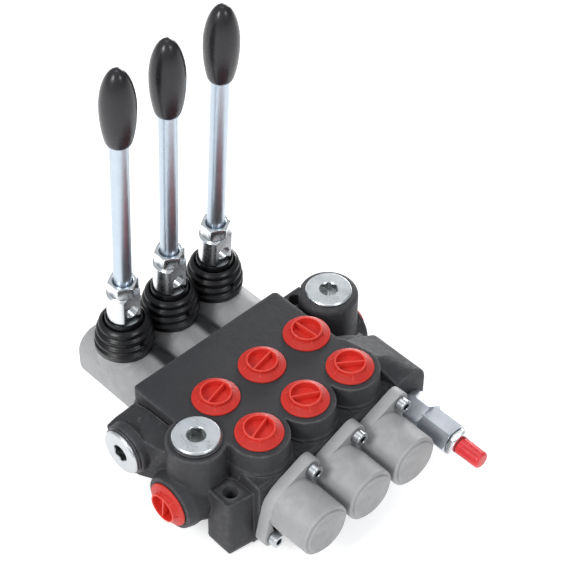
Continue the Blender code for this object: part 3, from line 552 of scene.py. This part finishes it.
# painted shade: a darker copy of the turned zinc plate for the plug on the side face
TURNED_SHADED = plated("turned_zinc_plate_painted_shade", scaled(ZINC, 0.74), 0.28, 0.38, RING_DEPTH)
DULL_PLATE = plated("dull_zinc_plate", (0.60, 0.63, 0.68), 0.32, 0.42)
CHROME = plated("polished_chrome", (0.51, 0.58, 0.65), 0.29, 0.35, spot=0.02)
GROUND = plated("ground_steel", (0.58, 0.58, 0.60), 0.22, 0.34)
WIRE = plated("spring_wire", (0.30, 0.30, 0.32), 0.35, 0.5)
RED = red_plastic()
VINYL = red_vinyl()
RUBBER = black_rubber()
KNOB = black_plastic()
SEAL = dark_seal()

# CAD nodes that no piece replaces, such as the spools and springs, get the finish of their slot.
CAD_FINISH = {"painted_iron": IRON, "cast_aluminium": ALUMINIUM, "zinc_steel": PLATE,
              "chrome": CHROME, "ground_steel": GROUND, "spring_steel": WIRE, "red_plastic": RED,
              "red_vinyl": VINYL, "black_rubber": RUBBER, "black_plastic": KNOB}
for entry in frame["record"]["subparts"]:
    for slot in frame["nodes"][entry["node"]].material_slots:
        slot.material = CAD_FINISH[entry["material_slot"]]


# ---- the cast block ----------------------------------------------------------------------
BLOCK_VOXEL = 0.42
FLANK_FRONT, FLANK_BACK = FRONT_Y, 7.5
FLANK_RIGHT = 81.2
RIDGE_R = 13.0
RIDGE_Z = 44.5


def lobe_arcs(radius):
    """Plan outline of the round lobes under the B ports."""
    points = []
    for x in SPOOLS.values():
        points += arc((x, -PORT_Y), radius, 180, 360, 24)
    return points


def add_flank(bm):
    """The shoulder that slopes from the deck down to the rounded ridge over the relief valve."""
    along = (FLANK_FRONT, -31.0, -26.0, -20.0, -12.0, -4.0, 4.0, FLANK_BACK)
    left = (57.0, 55.0, 53.4, 50.4, 46.0, 43.0, 42.0, 43.5)
    top = (54.4, 59.2, 63.6, 68.8, 70.9, 71.4, 71.5, 71.2)
    rings = []
    for y in [FLANK_FRONT + (FLANK_BACK - FLANK_FRONT) * i / 36 for i in range(37)]:
        outer = FLANK_RIGHT - 6.0 * min(1.0, max(0.0, (y - 1.6) / 1.5))
        inner, high = np.interp(y, along, left), np.interp(y, along, top)
        centre = Vector((outer - RIDGE_R, RIDGE_Z))
        ring = [(50, 16), (75.0, 16), (outer, 22)] + arc(centre, RIDGE_R, 0, 66, 10)
        tangent = Vector(ring[-1])
        for k in range(1, 7):
            blend = tangent.lerp(Vector((inner, high)), k / 6)
            ring.append((blend.x, blend.y + 1.2 * math.sin(math.pi * k / 6)))
        rings.append([bm.verts.new(Vector((x, y, z)) * MM) for x, z in ring])
    add_skin(bm, rings)


def block_solids(bm):
    """Every raw casting volume; the voxel remesh joins them."""
    ledge = [(-32, 0), (BACK_Y, 0), (BACK_Y, 50), (-5, 58.5), (FRONT_Y + 1.5, 53.1),
             (FRONT_Y, 51.5), (FRONT_Y, 10), (-34.5, 6.5)]
    add_prism(bm, ledge, -54, 56, section("X"))
    deck = [(-65, 10), (-54, 0)] + lobe_arcs(LOBE_R) + [
        (50, 0), (47.6, 3), (47.6, BACK_Y - 2), (45.6, BACK_Y), (-63.5, BACK_Y), (-65, BACK_Y - 1.5)]
    add_prism(bm, deck, 48, DECK_Z)
    add_prism(bm, [(-54.5, 6)] + lobe_arcs(LOBE_FOOT_R) + [(54.5, 6)], 48, 57.2)
    add_box(bm, (-65, 0, 0), (-50, BACK_Y, 60))

    # inlet and outlet bosses, upright and sideways
    add_lathe(bm, [(0, 20), (LOBE_R, 20), (LOBE_R, DECK_Z - 0.6), (17.3, DECK_Z), (0, DECK_Z)],
              (*INLET, 0))
    add_lathe(bm, [(0, 0), (18.1, 0), (18.1, OUTLET_TOP - 2.6), (17.3, OUTLET_TOP - 0.9),
                   (15.9, OUTLET_TOP), (0, OUTLET_TOP)], (*OUTLET, 0))
    add_lathe(bm, [(0, 0), (18.7, 0), (18.5, 24.4), (17.0, 29.4), (16.4, 30), (0, 30)],
              (INLET_FACE + 30, INLET[1], GALLERY_Z), (-1, 0, 0))
    add_lathe(bm, [(0, 0), (18.2, 0), (18.0, 28.8), (17.0, 30), (0, 30)],
              (OUTLET_FACE - 30, OUTLET[1], GALLERY_Z), (1, 0, 0))

    # left block with its sloping top, and the round land of its side port
    add_hull(bm, [
        (-86.8, 55.6, 56.6), (-80.0, 56.2, 57.6), (-60.0, 56.5, 58.2), (-60.0, 46.0, 63.6),
        (-60.0, 18.0, 65.2), (-83.4, 31.0, 62.6), (-79.6, 14.0, 62.8), (-85.6, 40.0, 60.5),
        (-60.0, 14.0, 64.0), (-86.5, 55.0, 39.0), (-86.5, 50.0, 34.0), (-86.5, 30.0, 34.0),
        (-78.6, 14.0, 34.0), (-60.0, 14.0, 34.0), (-60.0, 56.5, 34.0)])
    add_lathe(bm, [(0, 0), (15.9, 0), (15.7, 5.5), (14.9, 6.5), (0, 6.5)],
              (SIDE_FACE + 6.5, *SIDE_PORT), (-1, 0, 0))

    # front mounting ear with a rounded foot
    ear = [(-71.1, -29.8), (-53.0, -32.6), (-54.0, -12.0), (-70.7, -10.2)]
    add_prism(bm, rounded([(x, y, 2.0) for x, y in ear], True, 5), 4.0, 45.6)
    add_hull(bm, [(-62.0 + (x + 62.0) * k, -21.0 + (y + 21.0) * k, z) for x, y in ear
                  for k, z in ((0.98, 5.0), (0.93, 1.4), (0.80, 0.0))])

    # right side: corner under the outlet, flank and webs
    add_box(bm, (40, 40, 0), (68, BACK_Y, 61.5))
    add_flank(bm)
    add_box(bm, (50, -10, 0), (71.5, 9, 55))
    add_box(bm, (50, 8, 0), (71.5, 48, 42))

    # swellings round the upper cap screws
    for x in SPOOLS.values():
        add_lathe(bm, cylinder(3.3, 0, 6.5), (x + CAP_SCREW[0], FRONT_Y, SPOOL_Z + CAP_SCREW[1]),
                  (0, 1, 0))


def build_parting_lines(block):
    """Thin raised lines that the mould leaves; returns the path of the groove beside the deck."""
    foot = [(-59.5, -11.0), (-57.2, -13.6), (-55.4, -16.2)]
    for number, x in SPOOLS.items():
        start = 186 if number == 1 else 180 + LOBE_CUSP
        stop = 372 if number == 3 else 360 - LOBE_CUSP
        foot += arc((x, -PORT_Y), LOBE_FOOT_R, start, stop, 24)
    lines = {"lobe_foot_line": (0.32, foot),
             "flank_line": (0.28, [(53.6, -25.6), (55.2, -29.5), (56.4, -33.0), (57.4, -36.8)]),
             "deck_foot_line": (0.36, [(-65.9, 54.0 - 2.0 * i) for i in range(16)])}
    for name, (radius, path) in lines.items():
        points = []
        for x, y in path:
            spot = block.ray_cast(Vector((x, y, 90)) * MM, Vector((0, 0, -1)))[1]
            points.append((x, y, spot.z / MM + 0.1 * radius))
        piece(made(name, add_tube, points, radius), IRON, "root")
    return [(x + 1.4, y, z) for x, y, z in points]


def build_block():
    block = made("cast_body", block_solids)
    voxels = {"mode": "VOXEL", "voxel_size": BLOCK_VOXEL * MM}
    add_modifier(block, "REMESH", adaptivity=0.0, **voxels)
    add_modifier(block, "SMOOTH", factor=0.5, iterations=6)
    add_modifier(block, "REMESH", adaptivity=0.004, **voxels)
    settle(block)
    tools = [made("groove", add_tube, build_parting_lines(block), 1.15)]

    def cutter(profile, centre, axis=(0, 0, 1)):
        tools.append(made("cutter", add_lathe, profile, centre, axis, 48))

    def port(depth, centre, axis, radius=PORT_BORE_R):
        """A bore with a chamfered mouth; the cutter starts 2 mm outside the face."""
        cutter([(0, 0), (radius + 2.6, 0), (radius + 0.6, 2), (radius, 2.72), (radius, depth + 2),
                (0, depth + 2)], centre, axis)

    for x in SPOOLS.values():
        cutter(cylinder(SPOOL_BORE_R, 0, 100), (x, FRONT_Y - 2, SPOOL_Z), (0, 1, 0))
        for y in (PORT_Y, -PORT_Y):
            port(22, (x, y, DECK_Z + 2), (0, 0, -1))
        cutter([(0, 0), (7.5, 0), (7.5, 20), (4.5, 20), (4.5, 27), (0, 27)], (x, 12, -1))
    port(34, (INLET_FACE - 2, INLET[1], GALLERY_Z), (1, 0, 0))
    port(34, (OUTLET_FACE + 2, OUTLET[1], GALLERY_Z), (-1, 0, 0))
    port(34, (*INLET, DECK_Z + 2), (0, 0, -1))
    seat = 2 + OUTLET_TOP - OUTLET_SEAT
    cutter([(0, 0), (15.0, 0), (14.6, 2), (14.6, seat), (PORT_BORE_R, seat), (PORT_BORE_R, 36), (0, 36)],
           (*OUTLET, OUTLET_TOP + 2), (0, 0, -1))
    port(34, (SIDE_FACE - 2, *SIDE_PORT), (1, 0, 0))
    port(28, (RELIEF[0], FRONT_Y - 2, RELIEF[1]), (0, 1, 0), 8.3)

    # the two mounting holes, and the pocket in the ear's top
    cutter([(0, 0), (6.5, 0), (6.5, 2), (4.5, 2.4), (4.5, 52), (0, 52)], (-62.2, -22.2, 47.6),
           (0, 0, -1))
    cutter(cylinder(4.5, 0, 80), (58.2, 50.0, -2))
    pocket = [(-69.6, -28.4), (-54.4, -30.9), (-55.2, -13.4), (-69.3, -11.6)]
    tools.append(made("pocket", add_prism, pocket, 44.9, 47))
    combine(block, tools, solver="MANIFOLD")
    piece(block, IRON, "root", ["valve_body"], sharp=40)


build_block()


# ---- plugs -------------------------------------------------------------------------------
def build_transport_plug(name, centre, axis, bar_deg):
    """Red push-in plug: a cup with a wide flange, six small ribs and one bar across the cup."""
    wall = rounded([
        (0, 0.4), (8.2, 0.4, 0.4), (8.35, 5.2, 0.2), (9.3, 5.2, 0.25), (9.55, 2.7, 0.7),
        (13.9, 1.4, 0.35), (14.25, 0.3, 0.25), (8.9, 0.3), (8.9, -9, 0.5), (8.0, -10), (0, -10)],
        support=0.25)
    plug = made(name, add_lathe, wall, segments=96)
    bar = made("bar", add_box, (-8.8, -0.42, -1), (8.8, 0.42, 4.75))
    bar.rotation_euler.z = math.radians(bar_deg)
    rib = [(9.0, 1.6), (11.4, 1.9), (10.2, 3.0), (9.3, 4.7), (9.0, 4.7)]
    ribs = []
    for k in range(6):
        turn = Matrix.Rotation(math.radians(bar_deg + 30 + 60 * k), 4, "Z") @ section("Y")
        ribs.append(made("rib", add_prism, rib, -0.3, 0.3, turn))
    combine(plug, [bar] + ribs, "UNION")
    piece(plug, RED, "root", [name.replace("transport_plug", "port_plug")],
          place=placed(centre, axis))


BARS = {"a1": 14, "a2": 11, "a3": -86, "b1": 18, "b2": -29, "b3": -36}
for number, x in SPOOLS.items():
    for side, y in (("a", PORT_Y), ("b", -PORT_Y)):
        key = f"{side}{number}"
        build_transport_plug(f"transport_plug_{key}", (x, y, DECK_Z), (0, 0, 1), BARS[key])
build_transport_plug("transport_plug_p", (INLET_FACE, INLET[1], GALLERY_Z), (-1, 0, 0), -6)
build_transport_plug("transport_plug_t", (OUTLET_FACE, OUTLET[1], GALLERY_Z), (1, 0, 0), 20)


def build_screw_plug(name, node, face, axis, head, spin=0.0, finish=TURNED):
    """Zinc-plated plug with a chamfered hexagon socket, on its bonded washer."""
    profile = rounded([(0, head), (13.3, head, 0.3), (14.0, head - 0.8, 0.3), (14.0, 1.5, 0.25),
                       (8.8, 1.5, 0.3), (8.8, -12), (0, -12)])
    plug = made(name, add_lathe, profile, segments=128)
    mouth = [(0, head - 0.8), (4.95, head - 0.8), (5.85, head + 0.02), (5.85, head + 1), (0, head + 1)]
    combine(plug, [made("socket", add_hexagon, 10.0, head - 6.5, head + 1),
                   made("mouth", add_lathe, mouth)])
    mark_socket_shade(plug.data, 6.2, head - 0.2)
    piece(plug, finish, "root", [node], sharp=30, place=placed(face, axis, spin))
    ring = rounded([(9.2, 0.05), (14.9, 0.05, 0.3), (14.9, 1.35, 0.3), (9.2, 1.35)], True)
    washer = made(name + "_washer", add_lathe, ring, segments=96, closed=True)
    piece(washer, SEAL, "root", place=placed(face, axis))


build_screw_plug("inlet_screw_plug", "inlet_top_plug", (*INLET, DECK_Z), (0, 0, 1), 3.5, 16)
build_screw_plug("outlet_screw_plug", "outlet_top_plug", (*OUTLET, OUTLET_SEAT), (0, 0, 1), 3.2, 46)
build_screw_plug("side_screw_plug", "side_plug", (SIDE_FACE, *SIDE_PORT), (-1, 0, 0), 3.5, 10,
                 TURNED_SHADED)


# ---- end caps ----------------------------------------------------------------------------
def flange_outline():
    """A round middle that runs out to a rounded tip round each screw."""
    tip, middle = 6.5, 17.3
    reach = math.hypot(*CAP_SCREW)
    along = math.degrees(math.atan2(CAP_SCREW[1], CAP_SCREW[0]))
    spread = math.degrees(math.acos((middle - tip) / reach))
    points = []
    for turn in (along, along + 180):
        centre = (reach * math.cos(math.radians(turn)), reach * math.sin(math.radians(turn)))
        points += arc(centre, tip, turn - spread, turn + spread, 16)
        points += arc((0, 0), middle, turn + spread, turn + 180 - spread, 12)
    return points


FLANGE_TOP = 7.8


def build_cap(number):
    """The cap in its own frame: local Z points out of the valve."""
    cap = made(f"cap_casting_{number}", add_prism, flange_outline(), 0.3, FLANGE_TOP)
    barrel = rounded([(0, 0.4), (17.15, 0.4), (16.8, 34.9, 1.6), (14.5, 35.1, 0.25),
                      (14.1, 36.3, 0.7), (0, 36.3)], steps=6)
    combine(cap, [made("barrel", add_lathe, barrel, segments=128)], "UNION")
    soften(cap, 0.55, 3, 24)
    return cap


def socket_screw(name, radius, height, shank, length, across):
    """Cap-head screw with its head on zero; across is the width of its hexagon socket."""
    profile = rounded([(0, height), (radius, height, 0.45), (radius, 0.05, 0.15), (shank, 0.05),
                       (shank, -length), (0, -length)])
    screw = made(name, add_lathe, profile, segments=64)
    mouth = [(0, height - 0.5), (across * 0.5, height - 0.5), (across * 0.62, height + 0.1),
             (across * 0.62, height + 1), (0, height + 1)]
    combine(screw, [made("socket", add_hexagon, across, height * 0.42, height + 1),
                    made("mouth", add_lathe, mouth, segments=48)])
    mark_socket_shade(screw.data, across * 0.6, height - 0.3)
    return screw


for number, x in SPOOLS.items():
    cap = build_cap(number)
    tools = [made("hollow", add_lathe, cylinder(13.6, -2, 34))]
    for sign in (1, -1):
        spot = (sign * CAP_SCREW[0], sign * CAP_SCREW[1], 0)
        tools.append(made("hole", add_lathe, cylinder(2.8, -2, 10), spot, segments=32))
        tools.append(made("seat", add_lathe, cylinder(5.0, FLANGE_TOP - 0.05, 14), spot, segments=48))
    combine(cap, tools, solver="MANIFOLD")
    to_world = section("Y", (x, FRONT_Y, SPOOL_Z))
    piece(cap, ALUMINIUM, "root", [f"end_cap_{number}"], sharp=35, place=to_world)
    for sign, side in ((1, "upper"), (-1, "lower")):
        screw = socket_screw(f"socket_screw_{number}_{side}", 4.25, 5.0, 2.2, 15.5, 4.0)
        centre = (x + sign * CAP_SCREW[0], FRONT_Y - 8.1, SPOOL_Z + sign * CAP_SCREW[1])
        piece(screw, SCREW, "root", [f"cap_screw_{number}_{side}"], sharp=30,
              place=placed(centre, (0, -1, 0), 20 * number + 15 * sign))


# ---- lever boxes -------------------------------------------------------------------------
BOX_SCREWS = ((11.4, 13.2), (-11.4, 13.2), (9.2, -10.4), (-9.2, -10.4))
BOX_HALF = 17.7
BOX_TOP = 21.0
BOX_END = 66.5
BOX_SCREW_SEAT = 62.5
SHOULDER_R = 13.5
BOTTOM_R = 15.5


def box_solids(bm):
    """The box in its own frame: local Z points away from the ports."""
    side, low = BOX_HALF - SHOULDER_R, -BOX_HALF + BOTTOM_R
    outline = arc((side, BOX_TOP - SHOULDER_R), SHOULDER_R, 0, 90, 16)
    outline += arc((-side, BOX_TOP - SHOULDER_R), SHOULDER_R, 90, 180, 16)
    outline += arc((low, low), BOTTOM_R, 180, 270, 16)
    outline += arc((-low, low), BOTTOM_R, 270, 360, 16)
    add_prism(bm, outline, 0.3, BOX_END)
    add_lathe(bm, cylinder(17.4, 0, BOX_TOP), (0, 0, LEVER_Y - BACK_Y), (0, 1, 0))


def build_box(number, x):
    box = made(f"box_casting_{number}", box_solids)
    add_modifier(box, "REMESH", mode="VOXEL", voxel_size=0.6 * MM, adaptivity=0.0)
    add_modifier(box, "SMOOTH", factor=0.5, iterations=4)
    settle(box)
    tools = [made("bore", add_lathe, cylinder(9.5, -1, 59.3)),
             made("well", add_lathe, cylinder(8.6, 0, 30), (0, 0, LEVER_Y - BACK_Y), (0, 1, 0))]
    for dx, dz in BOX_SCREWS:
        spot = (dx, dz, 0)
        tools.append(made("hole", add_lathe, cylinder(2.3, -2, 70), spot, segments=24))
        tools.append(made("seat", add_lathe, cylinder(3.9, BOX_SCREW_SEAT, 70), spot, segments=32))
    combine(box, tools, solver="MANIFOLD")
    # painted shade on the shoulder that faces the next box
    if number < 3:
        mark_painted_shade(box.data, 2.0, 6.5)
    to_world = Matrix(((-1, 0, 0, x * MM), (0, 0, 1, BACK_Y * MM), (0, 1, 0, SPOOL_Z * MM),
                       (0, 0, 0, 1)))
    piece(box, ALUMINIUM, "root", [f"lever_box_{number}"], sharp=35, place=to_world)
    for k, (dx, dz) in enumerate(BOX_SCREWS):
        screw = socket_screw(f"box_screw_{number}_{k + 1}", 3.6, 3.7, 2.0, 68, 3.0)
        centre = (x + dx, BACK_Y + BOX_SCREW_SEAT + 0.1, SPOOL_Z + dz)
        piece(screw, SCREW, "root", sharp=30, place=placed(centre, (0, 1, 0), 25 * k))


for number, x in SPOOLS.items():
    build_box(number, x)


# ---- levers ------------------------------------------------------------------------------
HUB_R = 10.0
BALL_R = 8.0
FINGER_R = 2.6
FINGER_TIP_R = 4.3
NUT_BASE = HUB_TOP + 0.3
THREAD_PITCH = 1.25


def build_hub(number, place):
    """Pivot ball, cylinder with one flat and a tapped hole, and the finger into the spool."""
    ball = [(0, -BALL_R)]
    start, stop = math.asin(FINGER_R / BALL_R), math.pi - math.asin(5.5 / BALL_R)
    for i in range(13):
        angle = start + (stop - start) * i / 12
        ball.append((BALL_R * math.sin(angle), -BALL_R * math.cos(angle)))
    profile = ball + rounded([
        (5.5, 9.0), (5.5, 13.0, 0.8), (HUB_R, 15.6, 0.5), (HUB_R, HUB_TOP - 1.2, 0.3),
        (HUB_R - 1.3, HUB_TOP, 0.2), (0, HUB_TOP)])
    hub = made(f"lever_head_{number}", add_lathe, profile, segments=96)
    reach = LEVER_Z - SPOOL_Z
    tip = [(0, -reach - FINGER_TIP_R)]
    for i in range(1, 9):
        angle = math.pi * i / 10.5
        tip.append((FINGER_TIP_R * math.sin(angle), -reach - FINGER_TIP_R * math.cos(angle)))
    tip += [(FINGER_R, -reach + 4.5), (FINGER_R, -3.0), (0, -3.0)]
    finger = made("finger", add_lathe, tip, segments=32)
    finger.rotation_euler.x = -LEVER_LEAN[number]
    combine(hub, [finger], "UNION")
    thread = [(0, 0), (5.3, 0), (4.3, 2.2)]
    for i in range(8):
        thread += [(3.75, 2.7 + i * THREAD_PITCH), (4.3, 3.3 + i * THREAD_PITCH)]
    thread += [(3.75, 13.0), (0, 14.0)]
    combine(hub, [made("flat", add_box, (-12, -14, 26), (12, -7.9, 60)),
                  made("thread", add_lathe, thread, (0, -9.9, 36.2), (0, 1, 0)),
                  made("socket", add_lathe, cylinder(ROD_BORE_R, 0, 20), (0, 0, HUB_TOP - 5.0))])
    piece(hub, PLATE, f"lever_{number}", [f"lever_hub_{number}"], sharp=32, place=place)


def build_nut(number, place):
    low, high = NUT_BASE, NUT_TOP
    nut = made(f"lock_nut_{number}", add_hexagon, 16.0, low, high, 30)
    crown = [(0, low), (8.0, low), (9.35, low + 0.85), (9.35, high - 0.85), (7.9, high), (0, high)]
    combine(nut, [made("crown", add_lathe, crown, segments=96)], "INTERSECT")
    hole = [(0, low - 2), (ROD_BORE_R, low - 2), (ROD_BORE_R, high - 0.9), (6.6, high + 0.1),
            (6.6, high + 1), (0, high + 1)]
    combine(nut, [made("hole", add_lathe, hole, segments=64)])
    soften(nut, 0.2)
    piece(nut, PLATE, f"lever_{number}", [f"lever_lock_nut_{number}"], sharp=32,
          place=place)


def build_rod(number, lift, place):
    base = KNOB_BASE + lift
    profile = [(0, HUB_TOP - 4.7), (4.9, HUB_TOP - 4.7), (ROD_R, HUB_TOP - 4.2)]
    for i in range(8):
        profile += [(4.85, HUB_TOP - 3.6 + i * THREAD_PITCH), (ROD_R, HUB_TOP - 3.0 + i * THREAD_PITCH)]
    profile += [(ROD_R, NUT_TOP - 0.2), (ROD_R, NUT_TOP + 0.2)]
    profile += [(ROD_R, NUT_TOP + (base - NUT_TOP) * i / 8) for i in range(1, 9)]
    profile += [(ROD_R, base + 29.0), (0, base + 29.0)]
    rod = made(f"chrome_rod_{number}", add_lathe, profile, segments=64)
    piece(rod, CHROME, f"lever_{number}", [f"lever_rod_{number}"], place=place)


def build_knob(number, lift, place):
    """Tapering below its middle and egg-shaped above; the place is baked into the mesh."""
    middle = (KNOB_TOP + KNOB_BASE) / 2 + lift
    half = (KNOB_TOP - KNOB_BASE) / 2
    bottom = middle - half
    profile = [(ROD_BORE_R, bottom), (6.4, bottom), (6.85, bottom + 0.15), (7.2, bottom + 0.5)]
    for i in range(1, 61):
        step = -0.965 + 1.965 * math.sin(math.pi / 2 * i / 60)
        if step < 0:
            radius = KNOB_R * (1 - 0.29 * abs(step) ** 2.2)
        else:
            radius = KNOB_R * max(0.0, 1 - step ** 1.85) ** 0.49
        profile.append((radius, middle + half * step))
    profile[-1] = (0, middle + half)
    end = KNOB_BASE + lift + 30.0
    profile += [(0, end), (ROD_BORE_R, end)]
    knob = made(f"knob_grip_{number}", add_lathe, profile, segments=96, closed=True)
    knob.data.transform(place)
    piece(knob, KNOB, f"lever_{number}", [f"lever_knob_{number}"])


def boot_solid(bm):
    """Bellows wall about its own axis, heights above the lever pivot."""
    wall = [(15.0, 2.9), (17.7, 2.9), (17.9, 3.1), (17.9, 6.0), (18.05, 6.6), (17.7, 7.0),
            (16.3, 7.5), (16.0, 8.0)]
    wall += arc((15.75, 10.9), 2.15, -58, 66, 9)
    wall += [(15.5, 13.6), (15.35, 14.2)]
    wall += arc((14.85, 16.7), 1.95, -56, 64, 9)
    wall += [(14.5, 19.3), (14.3, 19.9)]
    wall += arc((13.7, 21.9), 1.6, -50, 62, 8)
    wall += [(13.6, 24.4), (12.7, 24.7), (12.3, 24.3), (12.0, 22.4), (11.7, 22.0), (11.35, 22.2),
             (11.3, 27.6), (11.0, 28.0), (10.5, 28.0), (10.35, 27.8), (10.35, 21.0), (12.6, 18.0),
             (13.6, 11.0)]
    add_lathe(bm, wall, segments=96, closed=True)


def build_boot(number, x):
    """Rubber bellows that lean with the lever at rest."""
    boot = made(f"bellows_{number}", boot_solid)
    extras = []
    for k in range(4):
        rib = made("rib", add_box, (11.1, -0.6, 21.6), (13.2, 0.6, 23.8))
        rib.rotation_euler.z = math.pi / 2 * k
        extras.append(rib)
    tab_outline = rounded([(14.6, -1.3), (18.2, -1.3, 0.9), (18.2, 1.3, 0.9), (14.6, 1.3)])
    tab = made("tab", add_prism, tab_outline, 9.0, 13.6)
    tab.rotation_euler.z = -math.pi / 2
    combine(boot, extras + [tab], "UNION")
    for vert in boot.data.vertices:
        vert.co.y -= vert.co.z * math.tan(LEVER_LEAN[number])
    piece(boot, RUBBER, None, sharp=50, place=placed((x, LEVER_Y, LEVER_Z)))
    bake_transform(boot)
    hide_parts(f"lever_boot_{number}")


for number, x in SPOOLS.items():
    place = (Matrix.Translation(Vector((x, LEVER_Y, LEVER_Z)) * MM)
             @ Matrix.Rotation(LEVER_LEAN[number], 4, "X"))
    build_hub(number, place)
    build_nut(number, place)
    build_rod(number, LEVER_OUT[number], place)
    build_knob(number, LEVER_OUT[number], place)
    build_boot(number, x)


# ---- relief valve ------------------------------------------------------------------------
# Built along local Z, which points out of the block; zero is the block's front face.
RELIEF_BASE = 0.3
COLLAR_END = 17.8
HEXAGON_END = 39.1
RELIEF_NUT_END = 43.6
VINYL_END = 60.8
VINYL_BORE_R = 4.3


def build_relief_sleeve(place):
    low, collar, hexagon = RELIEF_BASE, COLLAR_END, HEXAGON_END
    sleeve = made("relief_cartridge", add_hexagon, 20.6, low, collar, 90)
    crown = [(0, low), (10.4, low), (12.1, low + 2.5), (12.1, collar - 1.5), (10.8, collar), (0, collar)]
    combine(sleeve, [made("crown", add_lathe, crown, segments=96)], "INTERSECT")
    long_hexagon = made("long", add_hexagon, 18.3, collar - 2, hexagon, 0)
    end = [(0, collar - 3), (10.8, collar - 3), (10.8, hexagon - 0.9), (9.4, hexagon), (0, hexagon)]
    combine(long_hexagon, [made("end", add_lathe, end, segments=96)], "INTERSECT")
    thread = rounded([(0, low + 1), (8.0, low + 1), (8.0, -26.5, 0.3), (7.0, -27.5), (0, -27.5)])
    combine(sleeve, [long_hexagon, made("thread", add_lathe, thread)], "UNION")
    bore = [(0, hexagon + 1), (6.0, hexagon + 1), (6.0, -23.9), (3.5, -23.9), (3.5, -40), (0, -40)]
    combine(sleeve, [made("bore", add_lathe, bore)])
    soften(sleeve, 0.3)
    piece(sleeve, DULL_PLATE, "root", ["relief_sleeve"], sharp=28, place=place)


def build_relief_nut(place):
    low, high = HEXAGON_END + 0.3, RELIEF_NUT_END
    nut = made("relief_nut", add_hexagon, 17.0, low, high, 10)
    crown = [(0, low), (8.4, low), (9.7, low + 0.9), (9.7, high - 0.9), (8.3, high), (0, high)]
    combine(nut, [made("crown", add_lathe, crown, segments=96)], "INTERSECT")
    hole = [(0, low - 1), (4.3, low - 1), (4.3, high - 0.6), (5.0, high + 0.1), (5.0, high + 1),
            (0, high + 1)]
    combine(nut, [made("hole", add_lathe, hole)])
    soften(nut, 0.25)
    piece(nut, PLATE, "root", ["relief_lock_nut"], sharp=28, place=place)


def build_relief_cap(place):
    base = RELIEF_NUT_END + 0.3
    wall = rounded([(VINYL_BORE_R, base), (5.55, base, 0.3), (5.35, VINYL_END - 0.3, 1.6),
                    (0, VINYL_END), (0, 57.1), (VINYL_BORE_R, 57.1)], True, 6)
    cap = made("vinyl_cap", add_lathe, wall, segments=64, closed=True)
    piece(cap, VINYL, "root", ["relief_cap"], place=place)


relief_place = section("Y", (RELIEF[0], FRONT_Y, RELIEF[1]))
build_relief_sleeve(relief_place)
build_relief_nut(relief_place)
build_relief_cap(relief_place)


# ---- floor, light and camera -------------------------------------------------------------
BRIGHT_SIDE = (-0.45, 0.20, 0.87)
WORLD_DIM = 0.22
WORLD_BRIGHT = 0.62
LIGHT_TARGET = (0, 0.02, 0.06)


def build_stage():
    floor = made("floor", add_box, (-3000, -3000, -20), (3000, 3000, 0))
    n = Nodes("pale_floor")
    pale = n.mix(n.noise(3.0), (0.72, 0.72, 0.72), (0.74, 0.74, 0.74))
    floor.data.materials.append(n.finish(pale, 0.7, Emission_Color=(1.0, 1.0, 1.0, 1.0),
                                         Emission_Strength=0.55))

    # a soft world, brightest overhead and to the left
    world = bpy.data.worlds.new("studio")
    bpy.context.scene.world = world
    world.use_nodes = True
    nodes, links = world.node_tree.nodes, world.node_tree.links
    coords = nodes.new("ShaderNodeTexCoord")
    facing = nodes.new("ShaderNodeVectorMath")
    facing.operation = "DOT_PRODUCT"
    facing.inputs[1].default_value = BRIGHT_SIDE
    fade = nodes.new("ShaderNodeMapRange")
    fade.interpolation_type = "SMOOTHSTEP"
    for key, value in (("From Min", -0.60), ("From Max", 0.80), ("To Min", WORLD_DIM),
                       ("To Max", WORLD_BRIGHT)):
        fade.inputs[key].default_value = value
    links.new(coords.outputs["Generated"], facing.inputs[0])
    links.new(facing.outputs["Value"], fade.inputs["Value"])
    links.new(fade.outputs["Result"], nodes["Background"].inputs["Strength"])
    nodes["Background"].inputs["Color"].default_value = (0.94, 0.97, 1.0, 1.0)

    def softbox(name, spot, size, power, colour=(1, 1, 1)):
        data = bpy.data.lights.new(name, "AREA")
        data.shape = "RECTANGLE"
        data.size, data.size_y = size
        data.energy = power
        data.color = colour
        lamp = bpy.data.objects.new(name, data)
        lamp.location = spot
        aim = Vector(LIGHT_TARGET) - Vector(spot)
        lamp.rotation_euler = aim.to_track_quat("-Z", "Y").to_euler()
        bpy.context.scene.collection.objects.link(lamp)

    softbox("key", (-1.05, 0.05, 0.90), (0.40, 0.40), 8.5)
    softbox("overhead", (0.15, 0.30, 1.45), (0.8, 0.8), 3.5)
    softbox("fill", (0.10, -0.95, 0.95), (0.35, 0.35), 3.5, (0.95, 0.98, 1.0))
    softbox("rim", (0.95, 0.58, 0.33), (0.5, 0.25), 7)


CAMERA_TARGET = (63.77, 68.2, 60.0)
CAMERA_DISTANCE = 1.1125  # metres
LENS = 115.65


def build_camera():
    azimuth, elevation, roll = math.radians(-44.05), math.radians(45.0), math.radians(0.43)
    back = Vector((math.sin(azimuth) * math.cos(elevation),
                   -math.cos(azimuth) * math.cos(elevation), math.sin(elevation)))
    level = Vector((math.cos(azimuth), math.sin(azimuth), 0))
    upward = back.cross(level)
    right = level * math.cos(roll) + upward * math.sin(roll)
    up = upward * math.cos(roll) - level * math.sin(roll)
    data = bpy.data.cameras.new("camera")
    data.sensor_width = 36
    data.lens = LENS
    data.clip_start = 0.05
    camera = bpy.data.objects.new("camera", data)
    rotation = Matrix((right, up, back)).transposed().to_4x4()
    centre = Vector(CAMERA_TARGET) * MM + back * CAMERA_DISTANCE
    camera.matrix_world = Matrix.Translation(centre) @ rotation
    bpy.context.scene.collection.objects.link(camera)
    bpy.context.scene.camera = camera


build_stage()
build_camera()
bpy.context.scene.view_settings.view_transform = "Standard"
